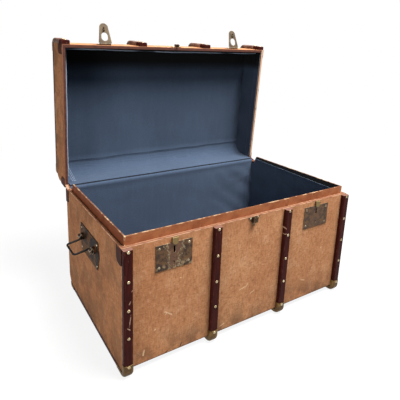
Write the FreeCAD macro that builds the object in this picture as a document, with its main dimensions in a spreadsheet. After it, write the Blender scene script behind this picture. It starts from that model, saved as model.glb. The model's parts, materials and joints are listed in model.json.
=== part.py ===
"""Travel trunk: a canvas-covered board case with wooden slats, a hinged lid, two locks and end handles."""
import FreeCAD
import Part
import os
import re
import Sketcher

# Driving sizes in millimetres and degrees
SIZES = (
    ("body_width", 910), ("body_depth", 524), ("body_height", 384), ("lid_height", 120),
    ("lid_open_angle", 86.3), ("bend_radius", 42), ("front_radius", 10), ("canvas_sheet", 1),
    ("body_board", 11.5), ("lid_board", 10), ("binding_sheet", 1.2), ("lip_board", 5), ("lip_rise", 27),
    ("lip_back_gap", 18), ("lip_slant", 14), ("lip_corner", 8), ("body_lining_sheet", 3),
    ("lining_drop", 3), ("lid_lining_sheet", 6), ("lid_lining_setback", 29), ("lid_lining_strip", 14),
    ("lid_lining_lift", 3), ("slat_width", 28), ("slat_thickness", 14.5), ("slat_chamfer", 3),
    ("slat_end_gap", 1), ("clamp_sheet", 1.5), ("clamp_radius", 26), ("cap_radius", 15.5),
    ("clamp_rounding", 7.5), ("foot_clamp_rise", 46), ("foot_clamp_reach", 56), ("lid_clamp_leg", 96),
    ("lid_clamp_reach", 48), ("runner_back_gap", 16), ("runner_wedge", 9), ("end_cap_reach", 36),
    ("nail_radius", 4.6), ("nail_height", 2.6), ("nail_top_gap", 7), ("nail_pitch", 87),
    ("clamp_nail_gap", 6), ("lid_nail_gap", 12), ("pin_nail_radius", 4), ("pin_nail_height", 2.2),
    ("guard_width", 34), ("guard_height", 50), ("guard_sheet", 2), ("guard_radius", 18),
    ("lock_plate_width", 121), ("lock_plate_height", 81), ("lock_plate_drop", 17), ("lock_sheet", 2),
    ("lock_nail_inset", 11.5), ("stud_width", 19), ("stud_height", 21), ("stud_rise", 6),
    ("stud_drop", 11.5), ("staple_drop", 38.5), ("staple_slot_width", 6), ("staple_slot_height", 21),
    ("key_drop", 78), ("key_radius", 3), ("key_slit_width", 2.4), ("key_slit_height", 9),
    ("case_width", 62), ("case_height", 66), ("case_drop", 24), ("staple_pocket_depth", 9.5),
    ("key_pocket_width", 12), ("key_pocket_height", 22), ("key_pocket_depth", 6), ("bolt_length", 20),
    ("bolt_height", 6.5), ("bolt_sheet", 2.4), ("bolt_play", 0.25), ("bolt_start", 25.5),
    ("bolt_travel", 12), ("hasp_width", 50), ("hasp_length", 76), ("hasp_nose_radius", 16.5),
    ("hasp_sheet", 2.5), ("hasp_pivot_rise", 15), ("hasp_knuckle_radius", 3.5), ("hasp_knuckle_length", 20),
    ("hasp_pin_radius", 1.5), ("hasp_gap", 0.5), ("hasp_rest_angle", 110), ("window_width", 25),
    ("window_length", 31), ("leaf_width", 44), ("leaf_height", 30), ("leaf_sheet", 2),
    ("leaf_knuckle_length", 11), ("staple_height", 15), ("staple_wire", 3.5), ("staple_reach", 9.5),
    ("pivot_play", 0.05), ("catch_width", 48), ("catch_height", 33), ("catch_socket_width", 17),
    ("catch_socket_height", 18), ("catch_socket_depth", 10), ("catch_pin_radius", 3),
    ("catch_pin_length", 12), ("catch_pin_play", 0.6), ("catch_bore_depth", 14.5), ("catch_block_rise", 10),
    ("catch_pin_root", 5), ("catch_nail_inset", 9), ("catch_nail_drop", 4.5), ("tongue_width", 38),
    ("tongue_height", 20), ("tongue_nail_inset", 4.5), ("leaf_nail_inset", 9), ("handle_plate_width", 170),
    ("handle_plate_height", 96), ("handle_plate_bulge", 8), ("handle_plate_taper", 8),
    ("handle_plate_rise", 224), ("handle_sheet", 2.5), ("handle_pivot_rise", 283),
    ("handle_pivot_out", 9.5), ("handle_nail_inset", 12), ("lug_span", 109), ("lug_width", 16),
    ("lug_radius", 9), ("bail_radius", 3.2), ("bail_play", 0.1), ("bail_reach", 53), ("bail_corner", 9),
    ("bail_root", 8), ("bail_rest_angle", 10), ("hinge_width", 60), ("hinge_ring", 15),
    ("hinge_body_leaf", 46), ("hinge_lid_leaf", 60), ("hinge_sheet", 2), ("hinge_knuckle_radius", 4.5),
    ("hinge_pin_radius", 2), ("hinge_gap", 0.5), ("hinge_drop", 8), ("hinge_nail_inset", 10),
    ("overrun", 5),
)

doc = FreeCAD.newDocument("travel_trunk")
sheet = doc.addObject("Spreadsheet::Sheet", "Dims")
for row, (alias, size) in enumerate(SIZES, 1):
    sheet.set(f"A{row}", alias)
    sheet.set(f"B{row}", str(size))
    sheet.setAlias(f"B{row}", alias)
doc.recompute()
ALIASES = {alias for alias, size in SIZES}
X_AXIS = FreeCAD.Vector(1, 0, 0)
Y_AXIS = FreeCAD.Vector(0, 1, 0)
Z_AXIS = FreeCAD.Vector(0, 0, 1)
ORIGIN = FreeCAD.Vector(0, 0, 0)
TOUCH = 1e-6
HAND_SIGNS = {"left": -1, "right": 1}
# Places along the trunk, as shares of the length between the outer slats
SLAT_SHARES = {1: -1 / 2, 2: -1 / 6, 3: 1 / 6, 4: 1 / 2}
LOCK_SHARES = {"left": -1 / 3, "right": 1 / 3}
NAIL_STEPS = (0, 1, 2, 3)
# Turns that point an upright piece to the front, back, left or right
FACINGS = {
    "front": FreeCAD.Rotation(X_AXIS, 90), "back": FreeCAD.Rotation(X_AXIS, -90),
    "left": FreeCAD.Rotation(Y_AXIS, -90), "right": FreeCAD.Rotation(Y_AXIS, 90),
}

# Derived places, written as formulas of the sheet's sizes
BASE = "(slat_thickness + clamp_sheet)"
PARTING = f"({BASE} + body_height)"
LID_TOP = f"({PARTING} + lid_height)"
FRONT_Y = "(-body_depth / 2)"
BACK_Y = "(body_depth / 2)"
END_X = "(body_width / 2)"
HINGE_Y = "(body_depth / 2 + hinge_knuckle_radius + hinge_gap)"
HINGE_Z = f"({PARTING} - hinge_drop)"
SLAT_SPAN = "(body_width - slat_width)"
BODY_INSET = "(canvas_sheet + body_board)"
LID_INSET = "(canvas_sheet + lid_board)"
INNER_BACK_RADIUS = f"(bend_radius - {BODY_INSET})"
LID_INNER_RADIUS = f"(bend_radius - {LID_INSET})"
RIM_Z = f"({PARTING} - binding_sheet)"
LID_RIM_Z = f"({PARTING} + binding_sheet)"
HASP_OUT = "(hasp_knuckle_radius + hasp_gap)"
SLAT_FRONT_Y = f"({FRONT_Y} - slat_thickness)"
SLAT_BEND = "(clamp_radius - clamp_sheet)"
SLAT_END_RADIUS = "(cap_radius - clamp_sheet)"
RUNNER_BACK_Y = f"({BACK_Y} - runner_back_gap)"

parts = {}


def formula(text):
    """Point each size's name in a formula at its cell."""
    def cell(word):
        name = word.group()
        return f"Dims.{name}" if name in ALIASES else name

    return re.sub(r"[a-z_]+", cell, text)


def worth(text):
    """The number that a formula stands for."""
    return float(sheet.evalExpression(formula(text)))


def keep(label, piece):
    """Enter a finished sub-part under its own label."""
    piece.Label = label
    parts[label] = piece
    return piece


def bind(piece, **sizes):
    for name, text in sizes.items():
        piece.setExpression(name, formula(text))


def place(piece, x="0", y="0", z="0", on_lid=False, turn="0"):
    """Put a piece at x, y, z of the closed trunk; a piece on the lid is then swung open with it."""
    piece.Placement = FreeCAD.Placement(ORIGIN, FreeCAD.Rotation(X_AXIS, 1))
    angle = f"-({turn})"
    if on_lid:
        swing = "lid_open_angle"
        out = f"(({y}) - {HINGE_Y})"
        lift = f"(({z}) - {HINGE_Z})"
        y = f"{HINGE_Y} + {out} * cos({swing}) + {lift} * sin({swing})"
        z = f"{HINGE_Z} - {out} * sin({swing}) + {lift} * cos({swing})"
        angle = f"-({swing} + {turn})"
    for path, text in ((".Base.x", x), (".Base.y", y), (".Base.z", z), (".Rotation.Angle", angle)):
        piece.setExpression("Placement" + path, formula(text))
    return piece


def box(x, y, z, on_lid=False):
    """A block between the two formulas of each axis."""
    block = doc.addObject("Part::Box", "block")
    bind(block, Length=f"({x[1]}) - ({x[0]})", Width=f"({y[1]}) - ({y[0]})", Height=f"({z[1]}) - ({z[0]})")
    return place(block, x[0], y[0], z[0], on_lid)


def across(half):
    """The two ends of a span centred on zero."""
    return (f"-({half})", f"{half}")


def rod(radius, start, length, y="0", z="0", axis=Y_AXIS):
    """A round bar along Y or X from its start."""
    bar = doc.addObject("Part::Cylinder", "bar")
    bind(bar, Radius=radius, Height=length)
    if axis == Y_AXIS:
        bar.Placement = FreeCAD.Placement(ORIGIN, FreeCAD.Rotation(X_AXIS, -90))
        spots = (("x", y), ("y", start), ("z", z))
    else:
        bar.Placement = FreeCAD.Placement(ORIGIN, FreeCAD.Rotation(Y_AXIS, 90))
        spots = (("x", start), ("y", y), ("z", z))
    for name, text in spots:
        bar.setExpression(f"Placement.Base.{name}", formula(text))
    return bar


def post(radius, x, y, z, height):
    """A round bar standing along Z."""
    bar = doc.addObject("Part::Cylinder", "post")
    bind(bar, Radius=radius, Height=height)
    return place(bar, x, y, z)


def fuse(*pieces):
    joined = doc.addObject("Part::MultiFuse", "joined")
    joined.Shapes = list(pieces)
    joined.Refine = True
    return joined


def cut(base, *tools):
    left = doc.addObject("Part::Cut", "cut_piece")
    left.Base = base
    left.Tool = tools[0] if len(tools) == 1 else fuse(*tools)
    left.Refine = True
    return left


def group(pieces):
    together = doc.addObject("Part::Compound", "group")
    together.Links = list(pieces)
    return together


def prism(plane, outline, length, symmetric=True):
    """A body padded from a closed outline whose corners are formulas; returns the body."""
    body = doc.addObject("PartDesign::Body", "body")
    sketch = body.newObject("Sketcher::SketchObject", "outline")
    side = next(item for item in body.Origin.OriginFeatures if item.Role == plane)
    sketch.AttachmentSupport = [(side, "")]
    sketch.MapMode = "FlatFace"
    corners = [FreeCAD.Vector(worth(u), worth(v), 0) for u, v in outline]
    count = len(corners)
    for index, corner in enumerate(corners):
        sketch.addGeometry(Part.LineSegment(corner, corners[(index + 1) % count]))
    for index in range(count):
        sketch.addConstraint(Sketcher.Constraint("Coincident", index, 2, (index + 1) % count, 1))
    for index, (corner, texts) in enumerate(zip(corners, outline)):
        for kind, number, text in zip(("DistanceX", "DistanceY"), corner, texts):
            rule = sketch.addConstraint(Sketcher.Constraint(kind, -1, 1, index, 1, number))
            sketch.setExpression(f"Constraints[{rule}]", formula(text))
    pad = body.newObject("PartDesign::Pad", "pad")
    pad.Profile = sketch
    pad.SideType = "Symmetric" if symmetric else "One side"
    bind(pad, Length=length)
    doc.recompute()
    return body


def round_edges(body, radius, **spot):
    """Round the body's straight edges whose two ends both lie at the given coordinates."""
    wanted = {axis: worth(text) for axis, text in spot.items()}

    def lies(vertex):
        return all(abs(getattr(vertex, axis) - number) < TOUCH for axis, number in wanted.items())

    base = body.Tip
    names = [f"Edge{index}" for index, edge in enumerate(base.Shape.Edges, 1)
             if all(map(lies, edge.Vertexes))]
    rounding = body.newObject("PartDesign::Fillet", "rounding")
    rounding.Base = (base, names)
    bind(rounding, Radius=radius)
    doc.recompute()
    return body


def hollow(body, sheet_size, z):
    """Turn a solid body into an open shell, leaving out its face at height z."""
    base = body.Tip
    height = worth(z)
    names = [f"Face{index}" for index, face in enumerate(base.Shape.Faces, 1)
             if abs(face.BoundBox.ZMin - height) < TOUCH and abs(face.BoundBox.ZMax - height) < TOUCH]
    shell = body.newObject("PartDesign::Thickness", "shell")
    shell.Base = (base, names)
    shell.Reversed = True
    shell.Join = 1
    bind(shell, Value=sheet_size)
    doc.recompute()
    return body


def trunk_block(inset_front, inset_back, inset_floor, length, rim, corner, front_corner=None):
    """The trunk's side outline pulled in on each side, with the round back edge at the floor."""
    front = f"{FRONT_Y} + {inset_front}"
    back = f"{BACK_Y} - {inset_back}"
    floor = f"{BASE} + {inset_floor}"
    body = prism("YZ_Plane", ((front, floor), (back, floor), (back, rim), (front, rim)), length)
    round_edges(body, corner, Y=back, Z=floor)
    if front_corner:
        round_edges(body, front_corner, Y=front, Z=floor)
    return body


def lid_block(inset_front, inset_back, inset_top, length, rim, corner, front_corner=None):
    """The closed lid's side outline pulled in on each side, with the round back edge at the top."""
    front = f"{FRONT_Y} + {inset_front}"
    back = f"{BACK_Y} - {inset_back}"
    top = f"{LID_TOP} - {inset_top}"
    body = prism("YZ_Plane", ((front, rim), (back, rim), (back, top), (front, top)), length)
    round_edges(body, corner, Y=back, Z=top)
    if front_corner:
        round_edges(body, front_corner, Y=front, Z=top)
    return body


def nail_head(radius, height, x, y, z, facing):
    """A nail's round head: the cap of a ball, resting on the face at x, y, z."""
    ball = f"(({radius} ^ 2 + {height} ^ 2) / (2 * {height}))"
    sunk = f"({ball} - {height})"
    head = doc.addObject("Part::Sphere", "nail_head")
    bind(head, Radius=ball, Angle1=f"asin({sunk} / {ball})")
    head.Placement = FreeCAD.Placement(ORIGIN, FACINGS[facing])
    outward = FACINGS[facing].multVec(Z_AXIS)
    for name, text, share in zip("xyz", (x, y, z), outward):
        head.setExpression(f"Placement.Base.{name}", formula(f"{text} - ({round(share)}) * {sunk}"))
    return head


def nail_group(label, heads, on_lid=False):
    """Nail heads that share one node, each a separate solid."""
    keep(label, place(group(heads), on_lid=on_lid))


def slat_x(number):
    return f"({SLAT_SHARES[number]} * {SLAT_SPAN})"


def lock_x(hand):
    return f"({LOCK_SHARES[hand]} * {SLAT_SPAN})"


# The body's boards, canvas, lips and lining
def body_boards():
    inner_width = f"body_width - 2 * {BODY_INSET}"
    front, back, floor = f"{FRONT_Y} + canvas_sheet", f"{BACK_Y} - canvas_sheet", f"{BASE} + canvas_sheet"
    inside_back, inside_floor = f"{back} - body_board", f"{floor} + body_board"
    corners = ((front, floor), (back, floor), (back, RIM_Z), (inside_back, RIM_Z),
               (inside_back, inside_floor), (front, inside_floor))
    bent = prism("YZ_Plane", corners, inner_width)
    round_edges(bent, "bend_radius - canvas_sheet", Y=back, Z=floor)
    round_edges(bent, INNER_BACK_RADIUS, Y=inside_back, Z=inside_floor)
    round_edges(bent, "front_radius - canvas_sheet", Y=front, Z=floor)
    keep("body_back_bottom_board", bent)
    for hand, sign in HAND_SIGNS.items():
        end = trunk_block("canvas_sheet", "canvas_sheet", "canvas_sheet", "body_board", RIM_Z,
                          "bend_radius - canvas_sheet", "front_radius - canvas_sheet")
        place(end, x=f"{sign} * ({END_X} - canvas_sheet - body_board / 2)")
        keep(f"body_{hand}_board", end)
    board = box(across(f"({inner_width}) / 2"), (front, f"{front} + body_board"), (inside_floor, RIM_Z))
    keep("body_front_board", cut(board, *(case_block(hand) for hand in HAND_SIGNS)))


def case_block(hand):
    """The outside of a lock case set into the front of the trunk."""
    x = lock_x(hand)
    return box((f"{x} - case_width / 2", f"{x} + case_width / 2"), (FRONT_Y, f"{FRONT_Y} + {BODY_INSET}"),
               (f"{PARTING} - case_drop - case_height", f"{PARTING} - case_drop"))


def body_cover():
    canvas = trunk_block("0", "0", "0", "body_width", RIM_Z, "bend_radius", "front_radius")
    hollow(canvas, "canvas_sheet", RIM_Z)
    keep("body_canvas", cut(canvas, *(case_block(hand) for hand in HAND_SIGNS)))
    outer = box(across(END_X), across(BACK_Y), (RIM_Z, PARTING))
    inner = box(across(f"{END_X} - {BODY_INSET}"), across(f"{BACK_Y} - {BODY_INSET}"),
                (f"{RIM_Z} - overrun", f"{PARTING} + overrun"))
    keep("body_rim_binding", cut(outer, inner))


def body_lips():
    """Thin boards inside the front and ends that stand up past the rim and guide the lid."""
    floor = f"{BASE} + {BODY_INSET}"
    front = f"{FRONT_Y} + {BODY_INSET}"
    back = f"{BACK_Y} - {BODY_INSET}"
    top = f"{PARTING} + lip_rise"
    span = across(f"{END_X} - {BODY_INSET}")
    keep("front_lip_board", box(span, (front, f"{front} + lip_board"), (floor, top)))
    start = f"{front} + lip_board"
    slant_foot = f"{back} - lip_back_gap"
    corners = ((start, floor), (back, floor), (back, RIM_Z), (slant_foot, RIM_Z),
               (f"{slant_foot} - lip_slant", top), (start, top))
    for hand, sign in HAND_SIGNS.items():
        lip = prism("YZ_Plane", corners, "lip_board")
        round_edges(lip, INNER_BACK_RADIUS, Y=back, Z=floor)
        round_edges(lip, "lip_corner", Y=f"{slant_foot} - lip_slant", Z=top)
        place(lip, x=f"{sign} * ({END_X} - {BODY_INSET} - lip_board / 2)")
        keep(f"{hand}_lip_board", lip)
    rim = f"{PARTING} - lining_drop"
    lining = trunk_block(f"{BODY_INSET} + lip_board", BODY_INSET, BODY_INSET,
                         f"body_width - 2 * ({BODY_INSET} + lip_board)", rim, INNER_BACK_RADIUS)
    keep("body_lining", hollow(lining, "body_lining_sheet", rim))


# The lid's boards, canvas and lining
def lid_boards():
    inner_width = f"body_width - 2 * {LID_INSET}"
    front, back, top = f"{FRONT_Y} + canvas_sheet", f"{BACK_Y} - canvas_sheet", f"{LID_TOP} - canvas_sheet"
    inside_back, inside_top = f"{back} - lid_board", f"{top} - lid_board"
    corners = ((front, inside_top), (inside_back, inside_top), (inside_back, LID_RIM_Z), (back, LID_RIM_Z),
               (back, top), (front, top))
    bent = prism("YZ_Plane", corners, inner_width)
    round_edges(bent, "bend_radius - canvas_sheet", Y=back, Z=top)
    round_edges(bent, LID_INNER_RADIUS, Y=inside_back, Z=inside_top)
    round_edges(bent, "front_radius - canvas_sheet", Y=front, Z=top)
    keep("lid_top_back_board", place(bent, on_lid=True))
    for hand, sign in HAND_SIGNS.items():
        end = lid_block("canvas_sheet", "canvas_sheet", "canvas_sheet", "lid_board", LID_RIM_Z,
                        "bend_radius - canvas_sheet", "front_radius - canvas_sheet")
        place(end, x=f"{sign} * ({END_X} - canvas_sheet - lid_board / 2)", on_lid=True)
        keep(f"lid_{hand}_board", end)
    span = across(f"({inner_width}) / 2")
    keep("lid_front_board", box(span, (front, f"{front} + lid_board"), (LID_RIM_Z, inside_top), on_lid=True))


def lid_cover():
    canvas = lid_block("0", "0", "0", "body_width", LID_RIM_Z, "bend_radius", "front_radius")
    hollow(canvas, "canvas_sheet", LID_RIM_Z)
    keep("lid_canvas", place(canvas, on_lid=True))
    outer = box(across(END_X), across(BACK_Y), (PARTING, LID_RIM_Z))
    inner = box(across(f"{END_X} - {LID_INSET}"), across(f"{BACK_Y} - {LID_INSET}"),
                (f"{PARTING} - overrun", f"{LID_RIM_Z} + overrun"))
    keep("lid_rim_binding", place(cut(outer, inner), on_lid=True))
    rim = f"{PARTING} + lid_lining_lift"
    shell = lid_block(LID_INSET, LID_INSET, LID_INSET, f"body_width - 2 * {LID_INSET}", rim, LID_INNER_RADIUS)
    hollow(shell, "lid_lining_sheet", rim)
    lip_room = box(across(f"{END_X}"), (FRONT_Y, f"{BACK_Y} - {LID_INSET} - lid_lining_strip"),
                   (f"{rim} - overrun", f"{PARTING} + lid_lining_setback"))
    keep("lid_lining", place(cut(shell, lip_room), on_lid=True))


# Slats, runners, clamps and corner guards
def ease_edges(body, kind, size, half, **levels):
    """Chamfer or round the long outer edges of a bar, at its two sides and the given levels."""
    width = worth(half)
    wanted = {axis: worth(text) for axis, text in levels.items()}

    def lies(edge, axis):
        return all(abs(getattr(vertex, axis) - wanted[axis]) < TOUCH and abs(abs(vertex.X) - width) < TOUCH
                   for vertex in edge.Vertexes)

    def runs_along(edge):
        return abs(edge.Vertexes[0].X - edge.Vertexes[-1].X) < TOUCH

    base = body.Tip
    names = [f"Edge{index}" for index, edge in enumerate(base.Shape.Edges, 1)
             if runs_along(edge) and any(lies(edge, axis) for axis in wanted)]
    eased = body.newObject(f"PartDesign::{kind}", "eased")
    eased.Base = (base, names)
    bind(eased, **size)
    doc.recompute()
    return body


def rail(z, turn_z, x, shell):
    """A bar that is bent round the shell's front edge, cut there into an upright and a lying slat."""
    front, back = SLAT_FRONT_Y, RUNNER_BACK_Y
    bar = prism("YZ_Plane", ((front, z[0]), (back, z[0]), (back, z[1]), (front, z[1])), "slat_width")
    round_edges(bar, SLAT_BEND, Y=front, Z=turn_z)
    round_edges(bar, SLAT_END_RADIUS, Y=back, Z=turn_z)
    ease_edges(bar, "Chamfer", {"Size": "slat_chamfer"}, "slat_width / 2", Y=front, Z=turn_z)
    place(bar, x)
    span = (f"{x} - slat_width", f"{x} + slat_width")
    height = ("-overrun", f"{LID_TOP} + slat_thickness + overrun")
    behind = box(span, (FRONT_Y, f"{BACK_Y} + overrun"), height)
    before = box(span, (f"{SLAT_FRONT_Y} - overrun", FRONT_Y), height)
    return cut(bar, behind), cut(bar, before, shell)


def clamp(outline, corner_y, corner_z, radius, x, *inside):
    """A sheet cap folded round a slat's end, hollowed by the pieces it holds."""
    block = prism("YZ_Plane", outline, "slat_width + 2 * clamp_sheet")
    round_edges(block, radius, Y=corner_y, Z=corner_z)
    ease_edges(block, "Fillet", {"Radius": "clamp_rounding"}, "slat_width / 2 + clamp_sheet",
               Y=corner_y, Z=corner_z)
    return cut(place(block, x), *inside)


def body_slats():
    trunk = trunk_block("0", "0", "0", "body_width + 2 * overrun", PARTING, "bend_radius", "front_radius")
    face = f"{SLAT_FRONT_Y} - clamp_sheet"
    wedge_top = f"{BASE} + runner_wedge"
    cap_back = f"{RUNNER_BACK_Y} + clamp_sheet"
    cap_front = f"{RUNNER_BACK_Y} - end_cap_reach"
    foot_back = f"{face} + foot_clamp_reach"
    foot_outline = ((face, "0"), (foot_back, "0"), (foot_back, BASE), (FRONT_Y, BASE),
                    (FRONT_Y, "foot_clamp_rise"), (face, "foot_clamp_rise"))
    cap_outline = ((cap_front, "0"), (cap_back, "0"), (cap_back, wedge_top), (cap_front, wedge_top))
    feet, caps = [], []
    for number in SLAT_SHARES:
        x = slat_x(number)
        upright, runner = rail(("clamp_sheet", f"{PARTING} - slat_end_gap"), "clamp_sheet", x, trunk)
        keep(f"front_slat_{number}", upright)
        keep(f"base_runner_{number}", runner)
        feet.append(clamp(foot_outline, face, "0", "clamp_radius", x, upright, runner))
        caps.append(clamp(cap_outline, cap_back, "0", "cap_radius", x, runner, trunk))
    keep("foot_clamps", group(feet))
    keep("runner_end_caps", group(caps))


def lid_slats():
    lid = lid_block("0", "0", "0", "body_width + 2 * overrun", PARTING, "bend_radius", "front_radius")
    top = f"{LID_TOP} + slat_thickness"
    roof = f"{top} + clamp_sheet"
    face = f"{SLAT_FRONT_Y} - clamp_sheet"
    wedge_foot = f"{LID_TOP} - runner_wedge"
    cap_back = f"{RUNNER_BACK_Y} + clamp_sheet"
    cap_front = f"{RUNNER_BACK_Y} - end_cap_reach"
    leg_foot = f"{roof} - lid_clamp_leg"
    reach_end = f"{face} + lid_clamp_reach"
    corner_outline = ((face, leg_foot), (FRONT_Y, leg_foot), (FRONT_Y, LID_TOP), (reach_end, LID_TOP),
                      (reach_end, roof), (face, roof))
    cap_outline = ((cap_front, wedge_foot), (cap_back, wedge_foot), (cap_back, roof), (cap_front, roof))
    clamps = []
    for number in SLAT_SHARES:
        x = slat_x(number)
        upright, bar = rail((f"{PARTING} + slat_end_gap", top), top, x, lid)
        clamps.append(clamp(corner_outline, face, roof, "clamp_radius", x, upright, bar))
        clamps.append(clamp(cap_outline, cap_back, roof, "cap_radius", x, bar, lid))
        keep(f"lid_front_slat_{number}", swung(upright))
        keep(f"lid_top_slat_{number}", swung(bar))
    keep("lid_clamps", place(group(clamps), on_lid=True))


def swung(piece):
    """A finished piece of the closed lid, swung open with it."""
    return place(group([piece]), on_lid=True)


def corner_guards(label, foot, top, rounded_z, on_lid=False):
    """Four thin tabs on the ends at the rim, with the corner away from the rim and the edge rounded."""
    guards = []
    for sign in HAND_SIGNS.values():
        for outer, inner in ((FRONT_Y, f"{FRONT_Y} + guard_width"), (BACK_Y, f"{BACK_Y} - guard_width")):
            tab = prism("YZ_Plane", ((outer, foot), (inner, foot), (inner, top), (outer, top)), "guard_sheet")
            round_edges(tab, "guard_radius", Y=inner, Z=rounded_z)
            guards.append(place(tab, x=f"{sign} * ({END_X} + guard_sheet / 2)"))
    keep(label, place(group(guards), on_lid=on_lid))


# Locks, hasps and the middle catch
def lock(hand):
    x = lock_x(hand)
    face = f"{FRONT_Y} - lock_sheet"
    top = f"{PARTING} - lock_plate_drop"
    staple_z = f"({PARTING} - staple_drop)"
    key_z = f"({PARTING} - key_drop)"
    stud_z = f"({PARTING} - stud_drop)"

    def centred(width):
        return (f"{x} - ({width}) / 2", f"{x} + ({width}) / 2")

    plate = box(centred("lock_plate_width"), (face, FRONT_Y), (f"{top} - lock_plate_height", top))
    stud_top = f"{stud_z} + stud_height / 2"
    stud_round = f"{stud_z} - stud_height / 2 + stud_width / 2"
    stud = box(centred("stud_width"), (f"{face} - stud_rise", FRONT_Y), (stud_round, stud_top))
    stud_foot = rod("stud_width / 2", f"{face} - stud_rise", "stud_rise + lock_sheet", x, stud_round)
    through = (f"{face} - overrun", f"{FRONT_Y} + overrun")
    slot_span = (f"{staple_z} - staple_slot_height / 2", f"{staple_z} + staple_slot_height / 2")
    slot = box(centred("staple_slot_width"), through, slot_span)
    key_round = rod("key_radius", through[0], "lock_sheet + 2 * overrun", x, key_z)
    key_slit = box(centred("key_slit_width"), through, (f"{key_z} - key_slit_height", key_z))
    keep(f"{hand}_lock_plate", cut(fuse(plate, stud, stud_foot), slot, key_round, key_slit))
    bolt_half = "(bolt_height / 2 + bolt_play)"
    deep = f"{FRONT_Y} - overrun"
    staple_room = box(centred("staple_slot_width"), (deep, f"{FRONT_Y} + staple_pocket_depth"), slot_span)
    bolt_end = f"{x} - bolt_start + bolt_length + bolt_travel + bolt_play"
    bolt_room = box((f"{x} - bolt_start - bolt_play", bolt_end),
                    (deep, f"{FRONT_Y} + bolt_sheet + 2 * bolt_play"),
                    (f"{staple_z} - {bolt_half}", f"{staple_z} + {bolt_half}"))
    key_room = box(centred("key_pocket_width"), (deep, f"{FRONT_Y} + key_pocket_depth"),
                   (f"{key_z} - key_pocket_height / 2", f"{key_z} + key_pocket_height / 2"))
    keep(f"{hand}_lock_case", cut(case_block(hand), staple_room, bolt_room, key_room))
    bolt = box((f"{x} - bolt_start", f"{x} - bolt_start + bolt_length"),
               (f"{FRONT_Y} + bolt_play", f"{FRONT_Y} + bolt_play + bolt_sheet"),
               (f"{staple_z} - bolt_height / 2", f"{staple_z} + bolt_height / 2"))
    keep(f"{hand}_lock_bolt", bolt)


def hasp(hand):
    """A pivoting hasp, drawn hanging from its own pin and then turned out past square to the lid's front."""
    inner = f"({HASP_OUT} - lock_sheet - hasp_gap)"
    outer = f"({inner} - hasp_sheet)"
    tip = "(hasp_length - hasp_nose_radius)"
    root = "(hasp_knuckle_radius + hasp_gap)"
    window_mid = "(hasp_pivot_rise + stud_drop)"
    window_round = "(window_length / 2 - window_width / 2)"
    staple_mid = "(hasp_pivot_rise + staple_drop)"
    corners = (("-hasp_width / 2", f"-{root}"), ("-hasp_nose_radius", f"-{tip}"),
               ("hasp_nose_radius", f"-{tip}"), ("hasp_width / 2", f"-{root}"))
    plate = place(prism("XZ_Plane", corners, "hasp_sheet", symmetric=False), y=inner)
    nose = rod("hasp_nose_radius", outer, "hasp_sheet", "0", f"-{tip}")
    neck = box(across("hasp_knuckle_length / 2"), (outer, inner), (f"-{root} - overrun", "0"))
    knuckle = rod("hasp_knuckle_radius", "-hasp_knuckle_length / 2", "hasp_knuckle_length", axis=X_AXIS)
    leg_tops = (f"staple_wire - staple_height / 2 - {staple_mid}", f"staple_height / 2 - {staple_mid}")
    reach = f"{inner} + staple_reach"
    wire = across("staple_wire / 2")
    legs = [box(wire, (outer, reach), (f"{level} - staple_wire", level)) for level in leg_tops]
    bridge = box(wire, (f"{reach} - staple_wire", reach), (f"{leg_tops[0]} - staple_wire", leg_tops[1]))
    pin_hole = rod("hasp_pin_radius + pivot_play", "-hasp_width / 2", "hasp_width", axis=X_AXIS)
    deep, depth = f"{outer} - overrun", "hasp_sheet + 2 * overrun"
    window = [rod("window_width / 2", deep, depth, "0", f"{window_round} - {window_mid}"),
              rod("window_width / 2", deep, depth, "0", f"-{window_round} - {window_mid}"),
              box(across("window_width / 2"), (deep, f"{inner} + overrun"),
                  (f"-{window_round} - {window_mid}", f"{window_round} - {window_mid}"))]
    solid = cut(fuse(plate, nose, neck, knuckle, *legs, bridge), pin_hole, *window)
    pivot = (lock_x(hand), f"{FRONT_Y} - {HASP_OUT}", f"{PARTING} + hasp_pivot_rise")
    keep(f"{hand}_hasp", place(solid, *pivot, on_lid=True, turn="hasp_rest_angle"))


def hasp_mounts():
    """The fixed leaves on the lid's front and the pins that the hasps turn on."""
    leaves, pins = [], []
    axis_y, axis_z = f"({FRONT_Y} - {HASP_OUT})", f"({PARTING} + hasp_pivot_rise)"
    clear_z = f"{axis_z} + hasp_knuckle_radius + hasp_gap"
    for hand in HAND_SIGNS:
        x = lock_x(hand)
        span = (f"{x} - leaf_width / 2", f"{x} + leaf_width / 2")
        plate = box(span, (f"{FRONT_Y} - leaf_sheet", FRONT_Y), (clear_z, f"{axis_z} + leaf_height"))
        starts = (span[0], f"{span[1]} - leaf_knuckle_length")
        ears = [box((start, f"{start} + leaf_knuckle_length"), (f"{FRONT_Y} - leaf_sheet", FRONT_Y),
                    (axis_z, clear_z)) for start in starts]
        rings = [rod("hasp_knuckle_radius", start, "leaf_knuckle_length", axis_y, axis_z, X_AXIS)
                 for start in starts]
        pin_args = (span[0], "leaf_width", axis_y, axis_z, X_AXIS)
        leaves.append(cut(fuse(plate, *ears, *rings), rod("hasp_pin_radius", *pin_args)))
        pins.append(rod("hasp_pin_radius", *pin_args))
    keep("hasp_leaves", place(group(leaves), on_lid=True))
    keep("hasp_pins", place(group(pins), on_lid=True))


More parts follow.
